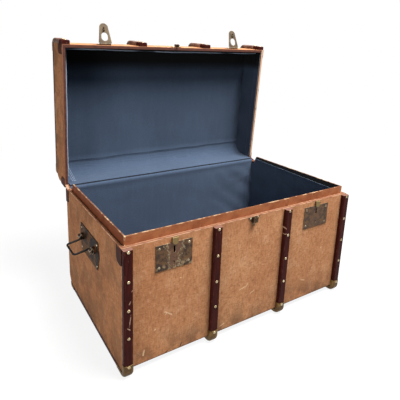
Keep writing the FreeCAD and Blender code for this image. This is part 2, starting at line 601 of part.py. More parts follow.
def middle_catch():
    half = "catch_width / 2"
    corners = ((f"-{half}", "0"), ("0", "-catch_height"), (half, "0"))
    plate = place(prism("XZ_Plane", corners, "lock_sheet", symmetric=False), "0", FRONT_Y, PARTING)
    face = f"{FRONT_Y} - lock_sheet"
    socket = box(across("catch_socket_width / 2"), (f"{face} - catch_socket_depth", face),
                 (f"{PARTING} - catch_socket_height", PARTING))
    pin_y = f"{face} - catch_socket_depth / 2"
    bore = post("catch_pin_radius + catch_pin_play", "0", pin_y, f"{PARTING} - catch_bore_depth",
                "catch_bore_depth + overrun")
    keep("catch_socket_plate", cut(fuse(plate, socket), bore))
    leaf = box(across("tongue_width / 2"), (face, FRONT_Y), (LID_RIM_Z, f"{PARTING} + tongue_height"))
    block = box(across("catch_socket_width / 2"), (f"{face} - catch_socket_depth", face),
                (LID_RIM_Z, f"{PARTING} + catch_block_rise"))
    pin = post("catch_pin_radius", "0", pin_y, f"{PARTING} - catch_pin_length",
               "catch_pin_length + catch_pin_root")
    keep("catch_pin_plate", place(fuse(leaf, block, pin), on_lid=True))


# End handles
def handle(hand):
    sign = HAND_SIGNS[hand]
    half = "handle_plate_width / 2"
    low, high = f"{BASE} + handle_plate_rise", f"{BASE} + handle_plate_rise + handle_plate_height"
    middle = f"{low} + handle_plate_height / 2"
    bulge, taper = f"{half} + handle_plate_bulge", f"{half} - handle_plate_taper"
    corners = ((f"-({taper})", low), (taper, low), (bulge, middle), (half, high), (f"-{half}", high),
               (f"-({bulge})", middle))
    plate = place(prism("YZ_Plane", corners, "handle_sheet"), f"{sign} * ({END_X} + handle_sheet / 2)")
    pivot_x = f"({sign} * ({END_X} + handle_sheet + handle_pivot_out))"
    pivot_z = f"({BASE} + handle_pivot_rise)"
    face = f"({sign} * {END_X})"
    walls = (face, pivot_x) if sign > 0 else (pivot_x, face)
    lugs, holes = [], []
    for side in HAND_SIGNS.values():
        start = f"{side} * lug_span / 2 - lug_width / 2"
        lugs.append(box(walls, (start, f"{start} + lug_width"),
                        (f"{pivot_z} - lug_radius", f"{pivot_z} + lug_radius")))
        lugs.append(rod("lug_radius", start, "lug_width", pivot_x, pivot_z))
        holes.append(rod("bail_radius + bail_play", f"{start} - overrun", "lug_width + 2 * overrun",
                         pivot_x, pivot_z))
    keep(f"{hand}_handle_plate", cut(fuse(plate, *lugs), *holes))
    bail = bent_bail(sign)
    bail.Placement = FreeCAD.Placement(ORIGIN, FreeCAD.Rotation(Y_AXIS, 1))
    turn = f"{sign} * bail_rest_angle"
    for path, text in ((".Base.x", pivot_x), (".Base.z", pivot_z), (".Rotation.Angle", turn)):
        bail.setExpression("Placement" + path, formula(text))
    keep(f"{hand}_handle_bail", bail)


def quarter_bend(radius, x, y, start_angle):
    """A quarter turn of the bail's rod about an upright axis, from the given direction."""
    bend = doc.addObject("Part::Torus", "bend")
    bind(bend, Radius1=radius, Radius2="bail_radius")
    bend.Angle3 = 90
    bend.Placement = FreeCAD.Placement(ORIGIN, FreeCAD.Rotation(Z_AXIS, start_angle))
    for axis, text in (("x", x), ("y", y)):
        bend.setExpression(f"Placement.Base.{axis}", formula(text))
    return bend


def bent_bail(sign):
    """A round rod bent to a three-sided bail, its two ends turned out into the lugs."""
    lug_inner = "(lug_span / 2 - lug_width / 2)"
    arm_y = f"({lug_inner} - bail_root)"
    reach = f"({sign} * bail_reach)"
    corner_x = f"({sign} * (bail_reach - bail_corner))"
    root_x = f"({sign} * bail_root)"
    grip_half = f"({arm_y} - bail_corner)"
    arm_length = "bail_reach - bail_corner - bail_root"
    arm_start = root_x if sign > 0 else corner_x
    solids = [rod("bail_radius", f"-{grip_half}", f"2 * {grip_half}", reach, "0"),
              rod("bail_radius", lug_inner, "lug_width", "0", "0"),
              rod("bail_radius", f"-{lug_inner} - lug_width", "lug_width", "0", "0")]
    grip_turns, root_turns = ((0, -90), (180, 90)) if sign > 0 else ((90, 180), (-90, 0))
    for side, grip_turn, root_turn in zip((1, -1), grip_turns, root_turns):
        solids.append(rod("bail_radius", arm_start, arm_length, f"{side} * {arm_y}", "0", X_AXIS))
        solids.append(quarter_bend("bail_corner", corner_x, f"{side} * {grip_half}", grip_turn))
        solids.append(quarter_bend("bail_root", root_x, f"{side} * {lug_inner}", root_turn))
    return fuse(*solids)


# Back hinges
def hinges():
    body_leaves, lid_leaves, pins = [], [], []
    leaf = (BACK_Y, f"{BACK_Y} + hinge_sheet")
    below = f"{HINGE_Z} - hinge_knuckle_radius - hinge_gap"
    above = f"{HINGE_Z} + hinge_knuckle_radius + hinge_gap"
    for hand in HAND_SIGNS:
        x = lock_x(hand)
        span = (f"{x} - hinge_width / 2", f"{x} + hinge_width / 2")
        ends = ((span[0], f"{span[0]} + hinge_ring - hinge_gap"),
                (f"{span[1]} - hinge_ring + hinge_gap", span[1]))
        middle = (f"{span[0]} + hinge_ring", f"{span[1]} - hinge_ring")
        pin_args = (span[0], "hinge_width", HINGE_Y, HINGE_Z, X_AXIS)
        pieces = [box(span, leaf, (f"{HINGE_Z} - hinge_body_leaf", below))]
        for start, end in ends:
            pieces.append(box((start, end), leaf, (below, HINGE_Z)))
            pieces.append(rod("hinge_knuckle_radius", start, "hinge_ring - hinge_gap",
                              HINGE_Y, HINGE_Z, X_AXIS))
        body_leaves.append(cut(fuse(*pieces), rod("hinge_pin_radius", *pin_args)))
        pieces = [box(span, leaf, (above, f"{HINGE_Z} + hinge_lid_leaf")),
                  box(middle, leaf, (HINGE_Z, above)),
                  rod("hinge_knuckle_radius", middle[0], "hinge_width - 2 * hinge_ring",
                      HINGE_Y, HINGE_Z, X_AXIS)]
        lid_leaves.append(cut(fuse(*pieces), rod("hinge_pin_radius + pivot_play", *pin_args)))
        pins.append(rod("hinge_pin_radius", *pin_args))
    keep("hinge_body_leaves", group(body_leaves))
    keep("hinge_pins", group(pins))
    keep("hinge_lid_leaves", place(group(lid_leaves), on_lid=True))


# Nail heads
def small_head(x, y, z, facing):
    return nail_head("pin_nail_radius", "pin_nail_height", x, y, z, facing)


def slat_head(x, y, z):
    return nail_head("nail_radius", "nail_height", x, y, z, "front")


def body_nails():
    clamp_face = f"{SLAT_FRONT_Y} - clamp_sheet"
    heads = []
    for number in SLAT_SHARES:
        x = slat_x(number)
        for step in NAIL_STEPS:
            heads.append(slat_head(x, SLAT_FRONT_Y, f"{PARTING} - nail_top_gap - {step} * nail_pitch"))
        heads.append(slat_head(x, clamp_face, "foot_clamp_rise - clamp_nail_gap"))
    nail_group("body_slat_nails", heads)
    face = f"{FRONT_Y} - lock_sheet"
    heads = []
    for hand, sign in HAND_SIGNS.items():
        plate_top = f"{PARTING} - lock_plate_drop - lock_nail_inset"
        plate_foot = f"{PARTING} - lock_plate_drop - lock_plate_height + lock_nail_inset"
        for side in HAND_SIGNS.values():
            x = f"{lock_x(hand)} + {side} * (lock_plate_width / 2 - lock_nail_inset)"
            heads += [small_head(x, face, z, "front") for z in (plate_top, plate_foot)]
            end = f"{sign} * ({END_X} + handle_sheet)"
            plate_y = f"{side} * (handle_plate_width / 2 - handle_nail_inset)"
            low = f"{BASE} + handle_plate_rise + handle_nail_inset"
            high = f"{BASE} + handle_plate_rise + handle_plate_height - handle_nail_inset"
            heads += [small_head(end, plate_y, z, hand) for z in (low, high)]
            leaf_x = f"{lock_x(hand)} + {side} * (hinge_width / 2 - hinge_nail_inset)"
            leaf_z = f"{HINGE_Z} - hinge_body_leaf + hinge_nail_inset"
            heads.append(small_head(leaf_x, f"{BACK_Y} + hinge_sheet", leaf_z, "back"))
    for side in HAND_SIGNS.values():
        x = f"{side} * (catch_width / 2 - catch_nail_inset)"
        heads.append(small_head(x, face, f"{PARTING} - catch_nail_drop", "front"))
    heads.append(small_head("0", face, f"{PARTING} - catch_height + catch_nail_inset", "front"))
    nail_group("body_plate_nails", heads)


def lid_nails():
    clamp_face = f"{SLAT_FRONT_Y} - clamp_sheet"
    heads = []
    for number in SLAT_SHARES:
        x = slat_x(number)
        heads.append(slat_head(x, SLAT_FRONT_Y, f"{PARTING} + lid_nail_gap"))
        clamp_foot = f"{LID_TOP} + slat_thickness + clamp_sheet - lid_clamp_leg"
        heads.append(slat_head(x, clamp_face, f"{clamp_foot} + clamp_nail_gap"))
    for hand in HAND_SIGNS:
        for side in HAND_SIGNS.values():
            x = f"{lock_x(hand)} + {side} * (leaf_width / 2 - leaf_nail_inset)"
            leaf_top = f"{PARTING} + hasp_pivot_rise + leaf_height"
            heads.append(small_head(x, f"{FRONT_Y} - leaf_sheet", f"{leaf_top} - leaf_nail_inset", "front"))
            x = f"{lock_x(hand)} + {side} * (hinge_width / 2 - hinge_nail_inset)"
            leaf_end = f"{HINGE_Z} + hinge_lid_leaf - hinge_nail_inset"
            heads.append(small_head(x, f"{BACK_Y} + hinge_sheet", leaf_end, "back"))
    for side in HAND_SIGNS.values():
        x = f"{side} * (tongue_width / 2 - tongue_nail_inset)"
        heads.append(small_head(x, f"{FRONT_Y} - lock_sheet", f"{PARTING} + tongue_height / 2", "front"))
    nail_group("lid_nails", heads, on_lid=True)


body_boards()
body_cover()
body_lips()
lid_boards()
lid_cover()
body_slats()
lid_slats()
guard_foot, guard_top = f"{PARTING} - guard_height", f"{PARTING} + guard_height"
corner_guards("body_corner_guards", guard_foot, PARTING, guard_foot)
corner_guards("lid_corner_guards", PARTING, guard_top, guard_top, on_lid=True)
for hand_name in HAND_SIGNS:
    lock(hand_name)
    hasp(hand_name)
    handle(hand_name)
hasp_mounts()
middle_catch()
hinges()
body_nails()
lid_nails()
doc.recompute()

# Check every object, then write the sub-parts
failed = [item.Label for item in doc.Objects if {"Invalid", "Error"} & set(item.State)]
failed += [label for label, piece in parts.items() if piece.Shape.isNull() or not piece.Shape.isValid()]
if failed:
    raise RuntimeError("these did not build: " + ", ".join(failed))
os.makedirs("parts", exist_ok=True)
for label, piece in parts.items():
    piece.Shape.exportStep(f"parts/{label}.step")
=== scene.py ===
"""Looks of the travel trunk: canvas, lining, varnished slats, rubbed brass and iron, and its studio."""
import bmesh
import bpy
import json
import math
from mathutils import Matrix, Vector, noise


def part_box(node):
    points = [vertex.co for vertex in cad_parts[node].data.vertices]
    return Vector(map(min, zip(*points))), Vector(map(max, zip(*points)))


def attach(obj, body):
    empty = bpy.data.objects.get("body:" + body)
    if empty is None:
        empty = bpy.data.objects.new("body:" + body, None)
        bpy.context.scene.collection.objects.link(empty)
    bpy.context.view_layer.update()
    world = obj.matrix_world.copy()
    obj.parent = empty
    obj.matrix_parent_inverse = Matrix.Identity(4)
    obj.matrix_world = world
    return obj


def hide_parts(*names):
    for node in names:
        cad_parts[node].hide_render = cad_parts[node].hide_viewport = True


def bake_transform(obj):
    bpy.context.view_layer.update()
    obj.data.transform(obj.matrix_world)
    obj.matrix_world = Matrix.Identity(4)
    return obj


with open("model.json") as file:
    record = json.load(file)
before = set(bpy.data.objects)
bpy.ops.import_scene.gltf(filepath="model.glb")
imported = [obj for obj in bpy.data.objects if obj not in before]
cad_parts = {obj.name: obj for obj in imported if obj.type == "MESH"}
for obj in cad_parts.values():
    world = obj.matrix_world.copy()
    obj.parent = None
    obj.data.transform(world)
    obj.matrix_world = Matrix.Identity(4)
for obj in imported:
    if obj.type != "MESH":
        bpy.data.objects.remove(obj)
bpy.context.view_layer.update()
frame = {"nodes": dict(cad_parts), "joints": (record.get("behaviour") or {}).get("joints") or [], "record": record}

RECORD = frame["record"]
BODY_OF = {node: body for body, nodes in RECORD["behaviour"]["bodies"].items() for node in nodes}
SLOT_OF = {part["node"]: part["material_slot"] for part in RECORD["subparts"]}
LID_JOINT = next(joint for joint in frame["joints"] if joint["name"] == "lid_hinge")
HINGE = Vector(LID_JOINT["pos_m"])
OPEN_ANGLE = math.radians(LID_JOINT["range_deg"][1])
LID_OPEN = Matrix.Translation(HINGE) @ Matrix.Rotation(-OPEN_ANGLE, 4, "X") @ Matrix.Translation(-HINGE)
LID_SHUT = LID_OPEN.inverted()
BODY_LOW, BODY_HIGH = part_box("body_canvas")
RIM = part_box("body_rim_binding")[1].z
LID_HEIGHT = 0.120
LID_TOP = RIM + LID_HEIGHT
SLAT_NUMBERS = (1, 2, 3, 4)
HANDS = ("left", "right")
HEM_SWAY_SEED = 7
noise.seed_set(HEM_SWAY_SEED)


# Finishes
class Wire:
    """A number or colour running through a node tree, so that a sum of them is written as a sum."""

    def __init__(self, nodes, socket):
        self.nodes = nodes
        self.socket = socket

    def sum(self, operation, *values):
        return self.nodes.node("ShaderNodeMath", {"operation": operation}, dict(enumerate(values)))

    def __add__(self, other):
        return self.sum("ADD", self, other)

    def __sub__(self, other):
        return self.sum("SUBTRACT", self, other)

    def __rsub__(self, other):
        return self.sum("SUBTRACT", other, self)

    def __mul__(self, other):
        return self.sum("MULTIPLY", self, other)

    def __truediv__(self, other):
        return self.sum("DIVIDE", self, other)

    def __abs__(self):
        return self.sum("ABSOLUTE", self)

    __radd__ = __add__

    def low(self, other):
        return self.sum("MINIMUM", self, other)

    def high(self, other):
        return self.sum("MAXIMUM", self, other)

    def wave(self, pitch):
        """A smooth ripple from 0 to 1, one every pitch."""
        return self.sum("SINE", self * (2 * math.pi / pitch)) * 0.5 + 0.5

    def step(self, start, end):
        """0 before start, 1 after end, with a soft rise between; the other way round where end is lower."""
        if end < start:
            return 1 - self.step(end, start)
        return self.nodes.node("ShaderNodeMapRange", {"interpolation_type": "SMOOTHSTEP"},
                               {0: self, 1: start, 2: end, 3: 0.0, 4: 1.0})


class Nodes:
    """The node tree of a finish or of the studio's backdrop, and the shader that it ends in."""

    def __init__(self, tree, shader_name):
        self.tree = tree
        self.shader = tree.nodes[shader_name]

    def feed(self, socket, value):
        if isinstance(value, Wire):
            self.tree.links.new(value.socket, socket)
        else:
            socket.default_value = value

    def node(self, kind, settings=None, sockets=None, out=0):
        """Add a node with its settings and sockets; the wire that comes back is one of its outputs."""
        node = self.tree.nodes.new(kind)
        for name, value in (settings or {}).items():
            setattr(node, name, value)
        for name, value in (sockets or {}).items():
            self.feed(node.inputs[name], value)
        return Wire(self, node.outputs[out])

    def coat(self, **sockets):
        """Set or feed the shader's own sockets; an underscore stands for a space."""
        for name, value in sockets.items():
            self.feed(self.shader.inputs[name.replace("_", " ")], value)
        return self

    def seen_by(self, *rays):
        """1 where a ray of one of these kinds meets the surface, 0 for any other ray."""
        first, second = (self.node("ShaderNodeLightPath", out=f"Is {ray} Ray") for ray in rays)
        return first.high(second)


class Finish(Nodes):
    """A finish for one kind of surface."""

    def __init__(self, name, **constants):
        self.material = bpy.data.materials.new(name)
        self.material.use_nodes = True
        super().__init__(self.material.node_tree, "Principled BSDF")
        self.coat(**constants)

    def spot(self, on_lid=False):
        """Where a point of the surface lies; a point of the lid is taken as on the shut trunk."""
        at = self.node("ShaderNodeTexCoord", out=3)
        if on_lid:
            at = self.node("ShaderNodeMapping", {}, {"Vector": at, "Location": LID_SHUT.to_translation(),
                                                     "Rotation": LID_SHUT.to_euler()})
        return at

    def axes(self, at):
        """A point's place along the trunk's length, depth and height."""
        return [self.node("ShaderNodeSeparateXYZ", {}, {0: at}, out=index) for index in range(3)]

    def stretched(self, at, scale):
        return self.node("ShaderNodeMapping", {}, {"Vector": at, "Scale": scale})

    def grain(self, at, scale, detail=4.0, rough=0.55):
        """An uneven cloud of values about 0.5; a higher scale makes it finer."""
        return self.node("ShaderNodeTexNoise", {}, {"Vector": at, "Scale": scale, "Detail": detail,
                                                    "Roughness": rough})

    def blend(self, share, first, second):
        return self.node("ShaderNodeMix", {"data_type": "RGBA"}, {0: share, 6: first, 7: second}, out=2)

    def mark(self, name):
        """How strongly a piece is marked with a kind of wear, from 0 to 1."""
        return self.node("ShaderNodeAttribute", {"attribute_name": name}, out=2)

    def stroke(self, x, z, fray, place):
        """A frayed stroke on an upright face, from 0 to 1: its middle, half length, half width and slope."""
        middle_x, middle_z, half_length, half_width, slope = place
        rise, run = math.sin(math.radians(slope)), math.cos(math.radians(slope))
        along = abs((x - middle_x) * run + (z - middle_z) * rise)
        beside = abs((z - middle_z) * run - (x - middle_x) * rise)
        off = (along / half_length).high(beside / half_width) + (fray - 0.5) * 1.6
        return off.step(1.0, 0.6)

    def relief(self, height, distance, strength=1.0):
        """Raise the surface by a height; the finish itself comes back."""
        return self.coat(Normal=self.node("ShaderNodeBump", {}, {"Strength": strength, "Distance": distance,
                                                                 "Height": height}))


def tone(red, green, blue):
    """A colour written as it looks, from 0 to 255, in the light's own scale."""
    shares = [value / 255 for value in (red, green, blue)]
    return tuple(((v + 0.055) / 1.055) ** 2.4 if v > 0.04045 else v / 12.92 for v in shares) + (1.0,)


def second_lowest(a, b, c):
    """The middle one of three distances: it is small only along an edge, where two of them are small."""
    return a.low(b).high(a.high(b).low(c))


# Strokes on the front, each with its middle along x and z, half length, half width and slope
SCUFFS = (
    (-0.308, 0.157, 0.018, 0.0022, -35),
    (-0.316, 0.159, 0.006, 0.0022, 50),
    (-0.389, 0.055, 0.011, 0.0030, 80),
    (-0.105, 0.042, 0.010, 0.0026, 20),
    (-0.028, 0.151, 0.016, 0.0020, 12),
    (-0.010, 0.157, 0.008, 0.0018, 55),
    (0.015, 0.124, 0.010, 0.0016, 25),
    (-0.352, 0.118, 0.003, 0.0026, 0),
    (-0.270, 0.262, 0.003, 0.0020, 0),
    (0.262, 0.094, 0.012, 0.0020, -20),
    (0.345, 0.205, 0.004, 0.0024, 30),
)
TEARS = (
    (-0.322, 0.022, 0.020, 0.0022, 28),
    (-0.264, 0.028, 0.012, 0.0020, 65),
    (0.120, 0.021, 0.016, 0.0018, 18),
)
SLAT_NICKS = (
    (-0.437, 0.188, 0.018, 0.0016, 82),
    (-0.441, 0.163, 0.007, 0.0018, -40),
    (-0.438, 0.243, 0.006, 0.0016, 60),
    (0.131, 0.338, 0.012, 0.0018, -52),
    (0.133, 0.312, 0.007, 0.0018, 15),
    (-0.431, 0.278, 0.004, 0.0016, 70),
)


def canvas_finish(name, on_lid=False):
    """Painted canvas: a coarse weave, faded patches, grime low down, scuffs and pale thread on the edges; painted
    shade towards the left end and in the tears' slits.
    """
    f = Finish(name, Specular_IOR_Level=0.2)
    at = f.spot(on_lid)
    x, y, z = f.axes(at)
    patch = f.grain(at, 4.5, 5.0)
    cloud = f.grain(at, 15.0, 5.0, 0.6)
    mottle = f.grain(at, 120.0, 5.0, 0.75)
    weft = f.grain(f.stretched(at, (0.25, 0.25, 1.0)), 230.0, 3.0)
    warp = f.grain(f.stretched(at, (1.0, 1.0, 0.25)), 230.0, 3.0)
    shade = f.blend(patch.step(0.34, 0.66), tone(203, 146, 102), tone(190, 131, 90))
    # Darker towards the left end: partly the canvas's own uneven tone, partly painted shade of the key light
    # falling from the right
    shade = f.blend(x.step(-0.10, -0.46) * 0.5, shade, tone(182, 121, 80))
    shade = f.blend(cloud.step(0.48, 0.72) * 0.55, shade, tone(214, 164, 124))
    shade = f.blend(cloud.step(0.48, 0.28) * 0.55, shade, tone(168, 110, 72))
    shade = f.blend(mottle.step(0.50, 0.78) * 0.65, shade, tone(222, 174, 134))
    shade = f.blend(mottle.step(0.48, 0.24) * 0.65, shade, tone(146, 94, 60))
    shade = f.blend((weft.step(0.48, 0.70) + warp.step(0.48, 0.70)) * 0.40, shade, tone(144, 92, 58))
    end = BODY_HIGH.x - abs(x)
    front = y - BODY_LOW.y
    back = BODY_HIGH.y - y
    if on_lid:
        rim, far = z - RIM, LID_TOP - z
    else:
        rim, far = RIM - z, z - BODY_LOW.z
    soil = f.grain(at, 16.0, 5.0)
    grime = soil.step(0.38, 0.62) * far.step(0.110, 0.0)
    grime = grime.high(end.step(0.03, 0.0) * soil.step(0.42, 0.64) * 0.6)
    shade = f.blend(grime * 0.75, shade, tone(108, 76, 54))
    shade = f.blend(far.step(0.006, 0.001) * 0.6, shade, tone(78, 54, 40))
    shade = f.blend(rim.step(0.030, 0.0) * 0.2, shade, tone(146, 90, 58))
    fleck = f.grain(f.stretched(at, (1.0, 1.0, 1.5)), 130.0, 3.0, 0.6).step(0.735, 0.775)
    rub = f.grain(at, 60.0, 4.0)
    fray = f.grain(at, 300.0, 3.0)
    if not on_lid:
        facing = front.step(0.003, 0.001)
        for place in SCUFFS:
            fleck = fleck.high(f.stroke(x, z, fray, place) * facing)
        # The tears are flat marks: their dark slits are painted shade where no opening is cut
        for place in TEARS:
            shade = f.blend(f.stroke(x, z, fray, place) * facing * 0.85, shade, tone(40, 30, 24))
    shade = f.blend(fleck * 0.75, shade, tone(232, 198, 156))
    edge = second_lowest(end, front.low(back), far)
    pale = edge.step(0.0045, 0.0010) * rub.step(0.44, 0.64)
    shade = f.blend(pale * 0.6, shade, tone(214, 176, 138))
    f.coat(Base_Color=shade, Roughness=0.72 + mottle * 0.2)
    return f.relief((weft + warp) * 0.6 + mottle * 0.5, 0.0009, 0.9)


def lining_finish(name, on_lid=False):
    """Slate blue cloth with a fine cross rib; pale along its turned edges, partly rubbed and partly a painted
    highlight; painted shade in its creases and, in the lid, painted shadow towards its front and right walls.
    """
    f = Finish(name, Roughness=0.92, Specular_IOR_Level=0.12, Sheen_Weight=0.06, Sheen_Roughness=0.6)
    at = f.spot(on_lid)
    x, y, z = f.axes(at)
    rib = (y + z).wave(0.0036)
    thread = x.wave(0.0030)
    patch = f.grain(at, 4.0, 4.0)
    runs = (2.0, 0.3, 2.0) if on_lid else (2.0, 2.0, 0.3)
    streak = f.grain(f.stretched(at, runs), 26.0, 4.0)
    fleck = f.grain(f.stretched(at, (1.0, 2.4, 2.4)), 160.0, 3.0)
    shade = f.blend(patch.step(0.3, 0.7), tone(60, 73, 92), tone(67, 81, 101))
    shade = f.blend(streak.step(0.42, 0.72) * 0.2, shade, tone(76, 90, 110))
    shade = f.blend(fleck.step(0.45, 0.75) * 0.4 + rib * 0.12, shade, tone(46, 57, 74))
    if on_lid:
        # Painted shadow: the lid's lining goes near black towards the lid's front wall, and darker towards its
        # right wall
        shade = f.blend(y.step(-0.14, -0.20).high(x.step(0.39, 0.44) * 0.45), shade, tone(4, 4, 6))
    # Painted highlight: the hems' rolled faces are painted pale, paler still in the lid, together with their
    # rubbed wear
    shade = f.blend(f.mark("wear_and_highlight") * 0.85, shade, tone(160, 172, 188) if on_lid else tone(112, 122, 134))
    # Painted shade: the marked crease faces are painted near black
    shade = f.blend(f.mark("crease") * 0.9, shade, tone(20, 23, 28))
    f.coat(Base_Color=shade)
    return f.relief(rib * 0.6 + thread * 0.4 + fleck * 0.5, 0.0006, 0.8)


def varnish_finish(name, along, on_lid=False):
    """Dark red varnished hardwood with its grain along the slat, chipped edges and a bare top end."""
    f = Finish(name, Specular_IOR_Level=0.05, Coat_Roughness=0.22)
    at = f.spot(on_lid)
    x, y, z = f.axes(at)
    runs = {"upright": (1.0, 1.0, 0.06), "lying": (1.0, 0.06, 1.0)}[along]
    fibre = f.grain(f.stretched(at, runs), 260.0, 5.0, 0.65)
    cloud = f.grain(at, 18.0, 4.0)
    shade = f.blend(fibre.step(0.35, 0.70), tone(46, 13, 10), tone(70, 23, 17))
    shade = f.blend(cloud.step(0.50, 0.75) * 0.6, shade, tone(36, 12, 11))
    chip = f.grain(f.stretched(at, (1.0, 1.0, 0.45)), 120.0, 3.0)
    shade = f.blend(f.mark("wear_and_highlight") * chip.step(0.48, 0.64) * 0.55, shade, tone(112, 58, 46))
    nick = f.grain(f.stretched(at, (1.6, 1.6, 0.5)), 90.0, 4.0, 0.7).step(0.70, 0.74)
    on_front = along == "upright" and not on_lid
    if on_front:
        fray = f.grain(at, 300.0, 3.0)
        for place in SLAT_NICKS:
            nick = nick.high(f.stroke(x, z, fray, place))
    shade = f.blend(nick * 0.7, shade, tone(196, 158, 132))
    if on_front:
        shade = f.blend((RIM - z).step(0.0026, 0.0014) * 0.9, shade, tone(122, 88, 76))
    f.coat(Base_Color=shade, Roughness=0.44 + fibre * 0.22, Coat_Weight=0.06)
    return f.relief(fibre * 0.7 + nick * -0.6, 0.0004, 0.6)


def metal_finish(name, bright, dark, stain, rough=0.42, metallic=0.85, on_lid=False, rub=None):
    """Tarnished metal: two tones, darker stains and brighter rubbed edges."""
    f = Finish(name)
    at = f.spot(on_lid)
    cloud = f.grain(at, 42.0, 6.0, 0.65)
    speck = f.grain(at, 190.0, 4.0, 0.6)
    shade = f.blend(cloud.step(0.36, 0.66), dark, bright)
    shade = f.blend(speck.step(0.52, 0.72) * 0.6, shade, stain)
    shade = f.blend(f.mark("wear_and_highlight") * speck.step(0.30, 0.62) * 0.8, shade, rub or bright)
    f.coat(Base_Color=shade, Metallic=metallic - speck.step(0.5, 0.8) * 0.3, Roughness=rough + cloud * 0.25)
    return f.relief(speck * 0.5 + cloud * 0.5, 0.0004, 0.6)


def lock_finish(name):
    """A lock plate's dark brass, rubbed where the hasp lies; the left one is scratched pale round that."""
    f = Finish(name)
    at = f.spot()
    x, y, z = f.axes(at)
    low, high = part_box("right_lock_plate")
    cloud = f.grain(at, 60.0, 6.0, 0.65)
    speck = f.grain(at, 210.0, 4.0, 0.6)
    beside = abs(abs(x) - (low.x + high.x) / 2)
    above = z - low.z
    left = x.step(0.1, -0.1)
    shade = f.blend(cloud.step(0.42, 0.60), tone(62, 42, 26), tone(102, 72, 44))
    shade = f.blend(left * cloud.step(0.52, 0.42) * 0.5, shade, tone(44, 29, 18))
    print_edge = beside - above * 0.22 + (cloud - 0.5) * 0.075 + (speck - 0.5) * 0.012
    shade = f.blend(print_edge.step(0.013, 0.003) * (0.3 + left * 0.4), shade, tone(112, 78, 56))
    line = print_edge.step(0.004, 0.009) * print_edge.step(0.016, 0.011)
    shade = f.blend(left * line * speck.step(0.38, 0.56) * 0.65, shade, tone(190, 170, 134))
    dabs = above.step(0.022, 0.006) * cloud.step(0.47, 0.58)
    shade = f.blend(left * dabs * 0.65, shade, tone(180, 158, 120))
    shade = f.blend(speck.step(0.54, 0.70) * (0.3 + left * 0.3), shade, tone(40, 28, 19))
    shade = f.blend((y - low.y).step(0.0052, 0.0040) * 0.8, shade, tone(136, 116, 68))
    shade = f.blend(f.mark("wear_and_highlight") * speck.step(0.30, 0.60) * 0.7, shade, tone(170, 148, 112))
    f.coat(Base_Color=shade, Metallic=0.4, Roughness=0.42 + cloud * 0.25)
    return f.relief(speck * 0.5 + cloud * 0.8, 0.0007, 0.8)


def iron_finish(name):
    """Dark pressed iron with rust-brown patches; the lugs are paler, with painted highlights in bright stripes."""
    f = Finish(name)
    at = f.spot()
    x, y, z = f.axes(at)
    cloud = f.grain(at, 30.0, 6.0, 0.65)
    speck = f.grain(at, 170.0, 4.0, 0.6)
    shade = f.blend(cloud.step(0.44, 0.56), tone(20, 13, 9), tone(98, 64, 36))
    shade = f.blend(speck.step(0.50, 0.70) * 0.7, shade, tone(20, 15, 13))
    shade = f.blend(speck.step(0.44, 0.30) * 0.45, shade, tone(134, 108, 84))
    out = (abs(x) - BODY_HIGH.x).step(0.006, 0.013)
    shade = f.blend(out * 0.8, shade, tone(64, 52, 44))
    # Painted highlights: bright stripes across the lugs stand in for the glints on their ridges
    shade = f.blend(out * (z + abs(x)).wave(0.0085).step(0.45, 0.75) * 0.85, shade, tone(196, 184, 164))
    shade = f.blend(f.mark("wear_and_highlight") * cloud.step(0.36, 0.60) * 0.5, shade, tone(140, 120, 100))
    f.coat(Base_Color=shade, Metallic=0.1, Roughness=0.5 + cloud * 0.25, Specular_IOR_Level=0.1)
    return f.relief(speck * 0.5 + cloud * 0.5, 0.0006, 0.8)


def leather_finish(name, base, dark, on_lid=False):
    """Old leather or fibre: a fine pebble, dark creases and rubbed edges."""
    f = Finish(name, Specular_IOR_Level=0.1)
    at = f.spot(on_lid)
    pebble = f.node("ShaderNodeTexVoronoi", {"feature": "SMOOTH_F1"}, {"Vector": at, "Scale": 420.0})
    cloud = f.grain(at, 40.0, 5.0)
    shade = f.blend(cloud.step(0.35, 0.7), dark, base)
    shade = f.blend(f.mark("wear_and_highlight") * cloud.step(0.4, 0.65) * 0.6, shade, tone(150, 104, 76))
    f.coat(Base_Color=shade, Roughness=0.5 + cloud * 0.3)
    return f.relief(pebble * 0.6 + cloud * 0.4, 0.0005, 0.7)


def edging_finish(name, on_lid=False):
    """The rim's brown edging, rubbed to its pale core along the edges."""
    f = Finish(name, Specular_IOR_Level=0.25)
    at = f.spot(on_lid)
    x, y, z = f.axes(at)
    cloud = f.grain(at, 55.0, 5.0)
    rub = f.grain(at, 38.0, 4.0)
    outer = (BODY_HIGH.x - abs(x)).low(BODY_HIGH.y - abs(y))
    if on_lid:
        shade = f.blend(cloud.step(0.35, 0.7), tone(88, 50, 38), tone(66, 37, 29))
        shade = f.blend(outer.step(0.0030, 0.0015), shade, tone(128, 84, 60))
        pale = x.step(0.4450, 0.4465) * rub.step(0.30, 0.44)
        strength = 0.85
    else:
        shade = f.blend(cloud.step(0.35, 0.7), tone(126, 84, 58), tone(104, 64, 44))
        lines = outer.step(0.0030, 0.0014).high(outer.step(0.0095, 0.0108) * 0.8)
        hinge_corner = y.step(0.248, 0.251) * abs(x).step(0.4455, 0.4475)
        pale = (lines * rub.step(0.36, 0.56)).high(hinge_corner)
        strength = 0.5
    shade = f.blend(pale * strength, shade, tone(196, 160, 130))
    f.coat(Base_Color=shade, Roughness=0.6 + cloud * 0.25)
    return f.relief(cloud, 0.0005, 0.7)


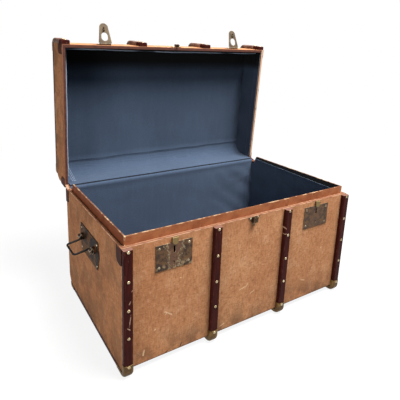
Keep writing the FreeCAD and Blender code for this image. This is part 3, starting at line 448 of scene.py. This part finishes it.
def lip_finish(name, light, dark):
    """Thin red-brown board, scratched, and rubbed to pale wood along its top edge and front corners."""
    f = Finish(name, Specular_IOR_Level=0.12)
    at = f.spot()
    x, y, z = f.axes(at)
    fibre = f.grain(f.stretched(at, (0.25, 0.25, 1.0)), 240.0, 5.0)
    cloud = f.grain(at, 30.0, 5.0)
    rub = f.grain(at, 46.0, 4.0)
    low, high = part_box("front_lip_board")
    shade = f.blend(cloud.step(0.35, 0.7), light, dark)
    shade = f.blend(fibre.step(0.5, 0.75) * 0.5, shade, tone(104, 56, 36))
    scratch = f.grain(f.stretched(at, (1.0, 1.0, 0.2)), 190.0, 3.0).step(0.68, 0.74)
    shade = f.blend(scratch * 0.5, shade, tone(214, 176, 136))
    corner = (high.x - abs(x)).high(y - low.y)
    top = high.z - z
    # Painted shade: the top face is painted darker to damp the overhead light on it
    shade = f.blend(top.step(0.0014, 0.0004) * 0.8, shade, tone(92, 56, 38))
    pale = top.step(0.0018, 0.0006) * rub.step(0.46, 0.66) * 0.6
    pale = pale.high(corner.step(0.0060, 0.0030) * rub.step(0.42, 0.56))
    shade = f.blend(pale * 0.8, shade, tone(222, 188, 148))
    f.coat(Base_Color=shade, Roughness=0.5 + cloud * 0.25)
    return f.relief(fibre * 0.6 + cloud * 0.4, 0.0004, 0.6)


def board_finish(name, light, dark):
    """Plain wood with its grain along the trunk's length."""
    f = Finish(name, Roughness=0.75)
    at = f.spot()
    fibre = f.grain(f.stretched(at, (0.08, 1.0, 1.0)), 220.0, 5.0, 0.65)
    f.coat(Base_Color=f.blend(fibre.step(0.35, 0.7), light, dark))
    return f.relief(fibre, 0.0004, 0.6)


BODY_CANVAS = canvas_finish("body_canvas_paint")
LID_CANVAS = canvas_finish("lid_canvas_paint", on_lid=True)
BODY_LINING = lining_finish("body_lining_cloth")
LID_LINING = lining_finish("lid_lining_cloth", on_lid=True)
UPRIGHT = varnish_finish("slat_varnish", "upright")
RUNNER = varnish_finish("runner_varnish", "lying")
LID_UPRIGHT = varnish_finish("lid_slat_varnish", "upright", on_lid=True)
LID_RUNNER = varnish_finish("lid_top_slat_varnish", "lying", on_lid=True)
FOOT_BRASS = metal_finish("foot_clamp_brass", tone(124, 94, 46), tone(84, 60, 28), tone(50, 36, 20),
                          metallic=0.6, rub=tone(142, 116, 66))
# The lid clamps get a greyer copy of the clamp brass: a painted reflection
LID_METAL = metal_finish("lid_clamp_metal", tone(150, 122, 108), tone(104, 70, 60), tone(66, 38, 34),
                         metallic=0.3, on_lid=True, rub=tone(176, 150, 132))
LOCK_BRASS = lock_finish("lock_plate_brass")
CATCH_BRASS = metal_finish("catch_brass", tone(96, 74, 52), tone(60, 44, 32), tone(36, 27, 21),
                           rub=tone(150, 128, 96))
HASP_BRASS = metal_finish("hasp_brass", tone(98, 82, 58), tone(66, 52, 37), tone(34, 26, 20), rough=0.5,
                          metallic=0.55, on_lid=True, rub=tone(128, 110, 80))
NAIL_BRASS = metal_finish("nail_brass", tone(206, 190, 156), tone(172, 150, 112), tone(122, 100, 70),
                          rough=0.28)
PLATE_NAIL = metal_finish("plate_nail_brass", tone(190, 176, 150), tone(120, 104, 82), tone(60, 48, 38),
                          rough=0.2)
IRON = iron_finish("handle_iron")
BAIL_IRON = metal_finish("bail_iron", tone(40, 38, 36), tone(26, 25, 24), tone(18, 17, 17), rough=0.4,
                         metallic=0.7)
STEEL = metal_finish("plain_steel", tone(104, 98, 90), tone(74, 66, 58), tone(48, 38, 32), rough=0.45)
# Near-black steel for the lock cases: painted shade seen through the keyhole and slot
DARK_STEEL = metal_finish("lock_case_steel", tone(30, 26, 22), tone(20, 17, 15), tone(12, 10, 9), rough=0.6)
GUARD = leather_finish("guard_leather", tone(78, 40, 32), tone(48, 24, 22))
LID_GUARD = leather_finish("lid_guard_leather", tone(84, 46, 34), tone(54, 30, 26), on_lid=True)
BODY_EDGING = edging_finish("body_rim_edging")
LID_EDGING = edging_finish("lid_rim_edging", on_lid=True)
LIP = lip_finish("lip_wood", tone(164, 102, 66), tone(140, 80, 50))
# A darker copy of the lip wood for the end lips: painted shade on the trunk's ends
SIDE_LIP = lip_finish("side_lip_wood", tone(134, 72, 42), tone(110, 56, 32))
# Near-black wood for the lips' inner faces: painted shade inside the rim
LIP_INSIDE = board_finish("lip_inside_wood", tone(34, 30, 29), tone(22, 20, 20))
BOARD = board_finish("plain_board", tone(120, 84, 56), tone(88, 58, 38))


# Shaping
def finished(name, bm, finish, body=None, thickness=0):
    """Turn a bmesh into a piece that moves with a body, or with none yet; cloth is thickened behind."""
    mesh = bpy.data.meshes.new(name)
    bm.to_mesh(mesh)
    bm.free()
    mesh.materials.append(finish.material)
    mesh.shade_smooth()
    mesh.set_sharp_from_angle(angle=math.radians(35))
    piece = bpy.data.objects.new(name, mesh)
    bpy.context.scene.collection.objects.link(piece)
    if thickness:
        layer = piece.modifiers.new("thickness", "SOLIDIFY")
        layer.thickness = thickness
        layer.offset = -1.0
    level = piece.modifiers.new("level_shading", "WEIGHTED_NORMAL")
    level.weight = 100
    level.keep_sharp = True
    if body:
        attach(piece, body)
    return piece


def mark(bm, name, faces, strength=1.0):
    """Mark the faces with a kind of wear that a finish can read."""
    layer = bm.loops.layers.float.get(name) or bm.loops.layers.float.new(name)
    for face in faces:
        for loop in face.loops:
            loop[layer] = strength


def bevel(bm, edges, radius, segments):
    """Round the edges; the new faces come back."""
    return bmesh.ops.bevel(bm, geom=edges, offset=radius, offset_type="OFFSET", segments=segments,
                           profile=0.5, affect="EDGES", material=-1, clamp_overlap=False)


def softened(node, finish, width, inside=None, facing=None):
    """The node's own shape with its sharp edges rounded and marked as rubbed.

    The faces that look the way of facing get the finish for the inside.
    """
    bm = bmesh.new()
    bm.from_mesh(frame["nodes"][node].data)
    bmesh.ops.remove_doubles(bm, verts=bm.verts, dist=1e-5)
    bmesh.ops.dissolve_limit(bm, angle_limit=math.radians(0.5), verts=bm.verts, edges=bm.edges)
    if width:
        sharp = [edge for edge in bm.edges if len(edge.link_faces) == 2 and edge.is_convex
                 and edge.calc_face_angle() > math.radians(32)]
        mark(bm, "wear_and_highlight", bevel(bm, sharp, width, 2)["faces"])
    piece = finished(f"{node}_dressed", bm, finish, BODY_OF[node])
    if inside:
        piece.data.materials.append(inside.material)
        for face in piece.data.polygons:
            face.material_index = int(face.normal.dot(Vector(facing)) > 0.7)
    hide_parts(node)


def block(low, high):
    """A bmesh box between two corners."""
    bm = bmesh.new()
    bmesh.ops.create_cube(bm, size=1.0)
    low, high = Vector(low), Vector(high)
    bmesh.ops.scale(bm, vec=high - low, verts=bm.verts)
    bmesh.ops.translate(bm, vec=(low + high) / 2, verts=bm.verts)
    return bm


def long_edges(bm, y, z):
    """The edges along the trunk's length at y, z."""
    return [edge for edge in bm.edges
            if all(abs(v.co.y - y) < 1e-5 and abs(v.co.z - z) < 1e-5 for v in edge.verts)]


def open_at(bm, z):
    """Take out the flat face at height z."""
    gone = [face for face in bm.faces if all(abs(v.co.z - z) < 1e-5 for v in face.verts)]
    bmesh.ops.delete(bm, geom=gone, context="FACES")


def right_angled(bm):
    """The edges where two faces meet at about a right angle."""
    return [edge for edge in bm.edges
            if len(edge.link_faces) == 2 and edge.calc_face_angle() > math.radians(60)]


def sliced(bm, point, normal):
    """Cut the mesh along a plane, keeping both halves."""
    bmesh.ops.bisect_plane(bm, geom=bm.verts[:] + bm.edges[:] + bm.faces[:], dist=1e-6, plane_co=point,
                           plane_no=normal)


def ruled(bm, axis, start, end, spacing):
    """Cut the mesh into strips across one axis."""
    count = int((end - start) / spacing)
    normal = Vector((axis == 0, axis == 1, axis == 2))
    for index in range(1, count):
        sliced(bm, normal * (start + (end - start) * index / count), normal)


def trimmed(bm, unwanted):
    """Take out the faces whose middle is unwanted."""
    gone = [face for face in bm.faces if unwanted(face.calc_center_median())]
    bmesh.ops.delete(bm, geom=gone, context="FACES")


def strip(profile, start, end, spacing):
    """A strip of cloth along the trunk's length, seen from its end as points of depth and height."""
    bm = bmesh.new()
    points = [bm.verts.new((start, y, z)) for y, z in profile]
    edges = [bm.edges.new(pair) for pair in zip(points, points[1:])]
    drawn = bmesh.ops.extrude_edge_only(bm, edges=edges)
    bmesh.ops.translate(bm, vec=(end - start, 0, 0),
                        verts=[item for item in drawn["geom"] if isinstance(item, bmesh.types.BMVert)])
    ruled(bm, 0, start, end, spacing)
    bmesh.ops.recalc_face_normals(bm, faces=bm.faces)
    return bm


def welt(bm, start, end, radius, sway, sag=Vector(), wear_and_highlight=1.0):
    """A rolled hem or thread from start to end, swaying a little; its faces are marked for pale wear and a painted
    highlight.
    """
    start, end = Vector(start), Vector(end)
    along = end - start
    count = max(2, int(along.length / 0.012))
    turn = along.to_track_quat("Z", "Y").to_matrix().to_4x4()
    ring = bmesh.ops.create_circle(bm, segments=8, radius=radius, matrix=Matrix.Translation(start) @ turn)
    loop = list(dict.fromkeys(edge for vert in ring["verts"] for edge in vert.link_edges))
    place, faces = start, []
    for index in range(1, count + 1):
        share = index / count
        drift = noise.noise_vector(start * 3 + along * share * 9) * sway
        target = start + along * share + (drift + sag * math.sin(math.pi * share)) * (share < 1)
        drawn = bmesh.ops.extrude_edge_only(bm, edges=loop)["geom"]
        verts = [item for item in drawn if isinstance(item, bmesh.types.BMVert)]
        bmesh.ops.translate(bm, vec=target - place, verts=verts)
        loop = [item for item in drawn if isinstance(item, bmesh.types.BMEdge)
                and all(vert in verts for vert in item.verts)]
        faces += [item for item in drawn if isinstance(item, bmesh.types.BMFace)]
        place = target
    mark(bm, "wear_and_highlight", faces, wear_and_highlight)


def make_room_for_locks(bm):
    """Cut the canvas away where the lock cases sit in the front board."""
    for hand in HANDS:
        low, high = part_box(f"{hand}_lock_case")
        for corner in (low, high):
            sliced(bm, Vector((corner.x, 0, 0)), Vector((1, 0, 0)))
            sliced(bm, Vector((0, 0, corner.z)), Vector((0, 0, 1)))
        trimmed(bm, lambda co: co.y < BODY_LOW.y + 0.001 and low.x < co.x < high.x and low.z < co.z < high.z)


def canvas_piece(name, low, high, open_z, far_z, finish, body, node):
    """Canvas stretched over the boards of the body or the lid, open at the rim."""
    bm = block(low, high)
    open_at(bm, open_z)
    back_radius, front_radius, corner_radius, thickness = 0.042, 0.010, 0.0025, 0.0009
    bevel(bm, long_edges(bm, high.y, far_z), back_radius, 10)
    bevel(bm, long_edges(bm, low.y, far_z), front_radius, 5)
    bevel(bm, right_angled(bm), corner_radius, 3)
    if body == "lid":
        bmesh.ops.transform(bm, matrix=LID_OPEN, verts=bm.verts)
    else:
        make_room_for_locks(bm)
    piece = finished(name, bm, finish, body, thickness)
    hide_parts(node)


def ramp(value, start, end):
    """0 before start, 1 after end, straight between; the other way round where end is lower."""
    return min(1.0, max(0.0, (value - start) / (end - start)))


def near(value, place, width):
    """1 at a place, fading to 0 over the width on both sides."""
    return max(0.0, 1.0 - abs(value - place) / width)


def swell(co):
    """Soft waves of loose cloth, from about 0 to 1."""
    return 0.5 + 0.6 * noise.noise(co * 7.0) + 0.4 * noise.noise(co * 19.0 + Vector((3, 1, 7)))


def lifted(bm, height):
    """Let the cloth stand off the boards by height() at each point."""
    bm.normal_update()
    for vert in bm.verts:
        vert.co += vert.normal * height(vert.co)


CLOTH = 0.0008
BACK_WALL_FOOT = 0.075
# The back lining from its foot up the wall, over the roll, through the crease and into the lid
HINGE_FOLD = ((0.2484, BACK_WALL_FOOT - 0.004), (0.2484, 0.384), (0.2476, 0.391), (0.2470, 0.396),
              (0.2474, 0.4005), (0.2490, 0.4042), (0.2515, 0.4066), (0.2542, 0.4074), (0.2565, 0.4064),
              (0.2580, 0.4040), (0.2588, 0.4030), (0.2594, 0.4050), (0.2600, 0.4086), (0.2612, 0.4106),
              (0.2640, 0.4118), (0.2700, 0.4124), (0.2790, 0.4124), (0.2900, 0.4120), (0.3000, 0.4110),
              (0.3080, 0.4096))
CREASE_START, CREASE_END = 0.2570, 0.2608
TAB_REACH = 0.0145


def body_lining():
    """The lining of the body's floor, front and ends; its hem has slipped on the right wall."""
    below_lip, back_radius, corner_radius, spacing, roll = 0.0045, 0.0295, 0.006, 0.012, 0.0011
    low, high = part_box("body_lining")
    rim, hem = high.z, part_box("right_lip_board")[1].z - below_lip
    slant_foot, slant = Vector((0, 0.2290, rim)), Vector((0, 0.027, 0.014))
    high.z = hem
    bm = block(low, high)
    open_at(bm, hem)
    bevel(bm, long_edges(bm, high.y, low.z), back_radius, 8)
    bevel(bm, right_angled(bm), corner_radius, 3)
    for height in (BACK_WALL_FOOT, rim):
        sliced(bm, Vector((0, 0, height)), Vector((0, 0, 1)))
    sliced(bm, slant_foot, slant)
    trimmed(bm, lambda co: co.z > BACK_WALL_FOOT and co.y > high.y - 0.003)
    trimmed(bm, lambda co: co.z > rim and (co - slant_foot).dot(slant) > 0)
    for axis in range(3):
        ruled(bm, axis, low[axis], high[axis], spacing)
    bmesh.ops.reverse_faces(bm, faces=bm.faces)
    slack_start, slack_end = BACK_WALL_FOOT - 0.01, BACK_WALL_FOOT + 0.04
    lifted(bm, lambda co: 0.0004 + 0.0018 * swell(co) * ramp(co.z, slack_start, slack_end))
    inside = 0.0018
    front, left, right = low.y + inside, low.x + inside, high.x - inside
    top_end = slant_foot.y - (hem - rim) * slant.z / slant.y

    def drop(y):
        """How far the right wall's hem has slipped below the lip's edge, most at the front."""
        return 0.007 + 0.010 * (top_end - y) / (top_end - front)

    bend = right - 0.022
    for vert in bm.verts:
        co = vert.co
        co.z -= drop(co.y) * ramp(co.x, bend, right - 0.002) * ramp(co.z, rim - 0.1, rim)
    welt(bm, (left, front, hem), (bend, front, hem), roll, 0.0006)
    welt(bm, (bend, front, hem), (right, front, hem - drop(front)), roll, 0.0006)
    # The right wall's slipped hem gets half the pale wear and painted highlight
    for x, slipped in ((left, 0.0), (right, 1.0)):
        near_top = (x, front, hem - slipped * drop(front))
        far_top = (x, top_end, hem - slipped * drop(top_end))
        welt(bm, near_top, far_top, roll, 0.0006, wear_and_highlight=1.0 - slipped * 0.5)
        welt(bm, far_top, (x, slant_foot.y, rim - slipped * drop(slant_foot.y)), roll, 0.0004)
    piece = finished("body_lining_cloth", bm, BODY_LINING, "trunk_body", CLOTH)
    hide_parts("body_lining")


def lid_lining():
    """The lid's lining: baggy at its rolled hem, gathered on the right and ridged where the top turns."""
    inset, span, corner_radius, spacing, loose = 0.011, 0.056, 0.0012, 0.011, 0.0055
    roll, thread = 0.0026, 0.0005
    low = Vector((BODY_LOW.x + inset, BODY_LOW.y + inset, RIM + 0.0045))
    high = Vector((BODY_HIGH.x - inset, BODY_HIGH.y - inset, LID_TOP - inset))
    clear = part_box("front_lip_board")[1].z + 0.001
    bm = block(low, high)
    open_at(bm, low.z)
    bevel(bm, long_edges(bm, high.y, high.z), span, 14)
    bevel(bm, right_angled(bm), corner_radius, 2)
    for rise in (0.0, 0.002, 0.004, 0.007):
        sliced(bm, Vector((0, 0, clear + rise)), Vector((0, 0, 1)))
    for axis in range(3):
        ruled(bm, axis, low[axis], high[axis], spacing)
    bmesh.ops.reverse_faces(bm, faces=bm.faces)

    def height(co):
        """How far the cloth stands off; it lies flat where the lips go in."""
        free = max(ramp(co.z, clear, clear + 0.004), ramp(co.y, 0.238, 0.244))
        bag = loose * ramp(co.z, clear + 0.05, clear) ** 2 * ramp(co.y, 0.23, 0.2) * ramp(co.x, 0.44, 0.43)
        drape = 0.0030 * (0.5 + noise.noise(Vector((co.x * 11, co.y * 2.5, 0.3))))
        folds = 1 + math.sin(co.y * 42 + co.x * 150)
        gather = ramp(co.x, 0.37, 0.43) * ramp(co.z, 0.45, 0.48) * folds * 0.0022
        turn = high.y - span + 0.007 * noise.noise(Vector((co.x * 9, 0, 5)))
        ridge = 0.0030 * near(co.y, turn, 0.009) * ramp(co.z, high.z - 0.02, high.z - 0.006)
        return 0.0009 + free * (bag + 0.0012 * swell(co) + max(0.0, drape) + gather + ridge)

    lifted(bm, height)
    hem = clear + 0.0045
    side, front, back = high.x - loose - 0.001, low.y + loose + 0.001, high.y - 0.020
    left, right = -side + 0.003, high.x - 0.0006
    welt(bm, (-side, front, hem), (side, front, hem), roll, 0.0034, Vector((0, 0.002, 0)))
    welt(bm, (left, front, hem), (left, back, hem), roll, 0.0020)
    welt(bm, (right, low.y + 0.002, low.z), (right, back + 0.006, low.z), thread, 0.0)
    # Loose threads where the hem ends at the hinge
    for shift in (0.0, 0.006, 0.011):
        welt(bm, (-side + shift * 0.3, back - 0.020 - shift * 2, hem + 0.002),
             (-0.424 + shift, back + 0.012, RIM + 0.006), thread, 0.003)
    bmesh.ops.transform(bm, matrix=LID_OPEN, verts=bm.verts)
    piece = finished("lid_lining_cloth", bm, LID_LINING, "lid", CLOTH)
    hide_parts("lid_lining")


def hinge_cloth():
    """The lining's back piece: the body's back wall, a soft roll at its top, a crease, then the lid."""
    end, spacing = BODY_HIGH.x - TAB_REACH, 0.012
    bm = strip(HINGE_FOLD, -end, end, spacing)
    ruled(bm, 2, BACK_WALL_FOOT, HINGE_FOLD[1][1], spacing)
    for vert in bm.verts:
        co = vert.co
        sway = noise.noise(co * Vector((8, 60, 60)))
        wall = ramp(co.z, 0.39, 0.36)
        slack = ramp(co.x, 0.16, 0.42)
        wave = 1 + math.sin(co.x * 55 + co.z * 70 + noise.noise(co * 9) * 3)
        pull = near(co.z - co.x * 0.35, 0.20 + 0.02 * noise.noise(co * 5), 0.012)
        seam = near(co.x, 0.418 + 0.003 * noise.noise(Vector((0, 0, co.z * 14))), 0.007)
        lift = wall * (0.0018 * swell(co) + slack * (0.0016 * wave + 0.0024 * pull) + 0.0040 * seam)
        vert.co += Vector((0, 0.0005 * sway * (1 - wall) - lift, 0.0009 * sway * (1 - wall)))
    # Painted shade: the faces in the crease are marked to be painted dark
    creased = [face for face in bm.faces if CREASE_START < face.calc_center_median().y < CREASE_END]
    mark(bm, "crease", creased)
    piece = finished("back_lining_cloth", bm, BODY_LINING, thickness=CLOTH)
    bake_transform(piece)


def hinge_tabs():
    """Short leather tabs at the two ends of the hinge, from the body's rim to the lid's."""
    outline = ((0.2500, 0.4006), (0.2560, 0.4024), (0.2620, 0.4046), (0.2690, 0.4072), (0.2762, 0.4092))
    for hand, sign, finish in zip(HANDS, (-1, 1), (BODY_EDGING, GUARD)):
        ends = sorted((sign * BODY_HIGH.x, sign * (BODY_HIGH.x - TAB_REACH)))
        piece = finished(f"{hand}_hinge_tab", strip(outline, *ends, 0.004), finish, thickness=0.0012)
        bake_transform(piece)


# Canvas and lining
canvas_piece("body_canvas_cover", BODY_LOW, BODY_HIGH, BODY_HIGH.z, BODY_LOW.z, BODY_CANVAS, "trunk_body",
             "body_canvas")
lid_low = Vector((BODY_LOW.x, BODY_LOW.y, 2 * RIM - BODY_HIGH.z))
lid_high = Vector((BODY_HIGH.x, BODY_HIGH.y, LID_TOP))
canvas_piece("lid_canvas_cover", lid_low, lid_high, lid_low.z, LID_TOP, LID_CANVAS, "lid", "lid_canvas")
body_lining()
lid_lining()
hinge_cloth()
hinge_tabs()

# Hard pieces: the made shapes with rounded, rubbed edges
WOOD_EDGE = 0.0009
THICK_EDGE = 0.0006
PLATE_EDGE = 0.0005
THIN_EDGE = 0.0004
ROUND_ALREADY = 0
for number in SLAT_NUMBERS:
    softened(f"front_slat_{number}", UPRIGHT, WOOD_EDGE)
    softened(f"base_runner_{number}", RUNNER, WOOD_EDGE)
    softened(f"lid_front_slat_{number}", LID_UPRIGHT, WOOD_EDGE)
    softened(f"lid_top_slat_{number}", LID_RUNNER, WOOD_EDGE)
softened("foot_clamps", FOOT_BRASS, PLATE_EDGE)
softened("runner_end_caps", FOOT_BRASS, PLATE_EDGE)
softened("lid_clamps", LID_METAL, PLATE_EDGE)
softened("body_corner_guards", GUARD, THICK_EDGE)
softened("lid_corner_guards", LID_GUARD, THICK_EDGE)
softened("body_rim_binding", BODY_EDGING, THIN_EDGE)
softened("lid_rim_binding", LID_EDGING, THIN_EDGE)
softened("front_lip_board", LIP, WOOD_EDGE, LIP_INSIDE, (0, 1, 0))
softened("left_lip_board", SIDE_LIP, WOOD_EDGE, LIP_INSIDE, (1, 0, 0))
softened("right_lip_board", SIDE_LIP, WOOD_EDGE, LIP_INSIDE, (-1, 0, 0))
for hand in HANDS:
    softened(f"{hand}_lock_plate", LOCK_BRASS, PLATE_EDGE)
    softened(f"{hand}_hasp", HASP_BRASS, THICK_EDGE)
    softened(f"{hand}_handle_plate", IRON, THICK_EDGE)
    softened(f"{hand}_handle_bail", BAIL_IRON, ROUND_ALREADY)
softened("catch_socket_plate", CATCH_BRASS, PLATE_EDGE)
softened("catch_pin_plate", CATCH_BRASS, PLATE_EDGE)
softened("hasp_leaves", HASP_BRASS, THIN_EDGE)
softened("hinge_body_leaves", STEEL, THIN_EDGE)
softened("hinge_lid_leaves", STEEL, THIN_EDGE)
softened("body_slat_nails", NAIL_BRASS, ROUND_ALREADY)
softened("body_plate_nails", PLATE_NAIL, ROUND_ALREADY)
softened("lid_nails", NAIL_BRASS, ROUND_ALREADY)
LEFT_AS_MADE = {"board": BOARD, "lock_steel": DARK_STEEL}
for node, part in frame["nodes"].items():
    if not part.hide_render:
        part.data.materials.clear()
        part.data.materials.append(LEFT_AS_MADE.get(SLOT_OF[node], STEEL).material)


# Studio
def backdrop(scene):
    """A backdrop that looks white and lights the trunk only a little."""
    scene.world = bpy.data.worlds.new("studio")
    scene.world.use_nodes = True
    sky = Nodes(scene.world.node_tree, "Background")
    sky.coat(Color=(1.0, 1.0, 1.0, 1.0), Strength=0.08 + sky.seen_by("Camera", "Transmission") * 0.92)


def floor(scene):
    """A pale floor that keeps the trunk's shadow and fades to white further out."""
    bm = bmesh.new()
    bmesh.ops.create_grid(bm, x_segments=1, y_segments=1, size=12.0)
    mesh = bpy.data.meshes.new("studio_floor")
    bm.to_mesh(mesh)
    bm.free()
    sheet = bpy.data.objects.new("studio_floor", mesh)
    scene.collection.objects.link(sheet)
    paper = Finish("pale_floor", Roughness=0.9, Specular_IOR_Level=0.0)
    seen = paper.seen_by("Camera", "Glossy")
    far = paper.node("ShaderNodeVectorMath", {"operation": "LENGTH"}, {0: paper.spot()}, out=1).step(1.0, 2.6)
    paper.coat(Base_Color=paper.blend(seen, (0.12, 0.12, 0.12, 1.0), (0.9, 0.9, 0.9, 1.0)))
    lit = Wire(paper, paper.shader.outputs[0])
    white = paper.node("ShaderNodeEmission", {}, {"Color": (1.0, 1.0, 1.0, 1.0), "Strength": 1.0})
    mixed = paper.node("ShaderNodeMixShader", {}, {0: seen * (0.88 + far * 0.12), 1: lit, 2: white})
    paper.feed(paper.tree.nodes["Material Output"].inputs["Surface"], mixed)
    mesh.materials.append(paper.material)


def lamp(scene, name, place, aim, size, power):
    light = bpy.data.lights.new(name, "AREA")
    light.shape = "DISK"
    light.size = size
    light.energy = power
    holder = bpy.data.objects.new(name, light)
    scene.collection.objects.link(holder)
    holder.location = place
    holder.rotation_euler = (Vector(aim) - Vector(place)).to_track_quat("-Z", "Y").to_euler()


def camera(scene):
    """The photo's viewpoint; the shift frames the trunk left of the middle and high up, as there."""
    picture_width, focal_pixels, centre_across, centre_down = 400, 391.6, 175.2, 142.1
    place = (-0.8175, -1.1291, 0.9059)
    eye = bpy.data.cameras.new("camera")
    eye.sensor_width = 36.0
    eye.lens = eye.sensor_width * focal_pixels / picture_width
    eye.shift_x = 0.5 - centre_across / picture_width
    eye.shift_y = centre_down / picture_width - 0.5
    eye.clip_end = 60.0
    azimuth, elevation, roll = (math.radians(angle) for angle in (-30.84, 13.06, 1.39))
    away = Vector((math.sin(azimuth) * math.cos(elevation), -math.cos(azimuth) * math.cos(elevation),
                   math.sin(elevation)))
    across = Vector((0, 0, 1)).cross(away).normalized()
    upward = away.cross(across)
    turned = Matrix((across, upward, away)).transposed() @ Matrix.Rotation(roll, 3, "Z")
    holder = bpy.data.objects.new("camera", eye)
    scene.collection.objects.link(holder)
    holder.matrix_world = Matrix.Translation(place) @ turned.to_4x4()
    scene.camera = holder


stage = bpy.context.scene
stage.view_settings.view_transform = "Standard"
backdrop(stage)
floor(stage)
lamp(stage, "key", (0.8, -0.95, 3.4), (0.0, 0.0, 0.4), 2.0, 330)
lamp(stage, "side_fill", (-3.0, -1.2, 0.6), (0.0, 0.0, 0.3), 1.4, 44)
lamp(stage, "back_fill", (1.6, 3.2, 1.3), (0.0, 0.3, 0.5), 1.6, 30)
camera(stage)
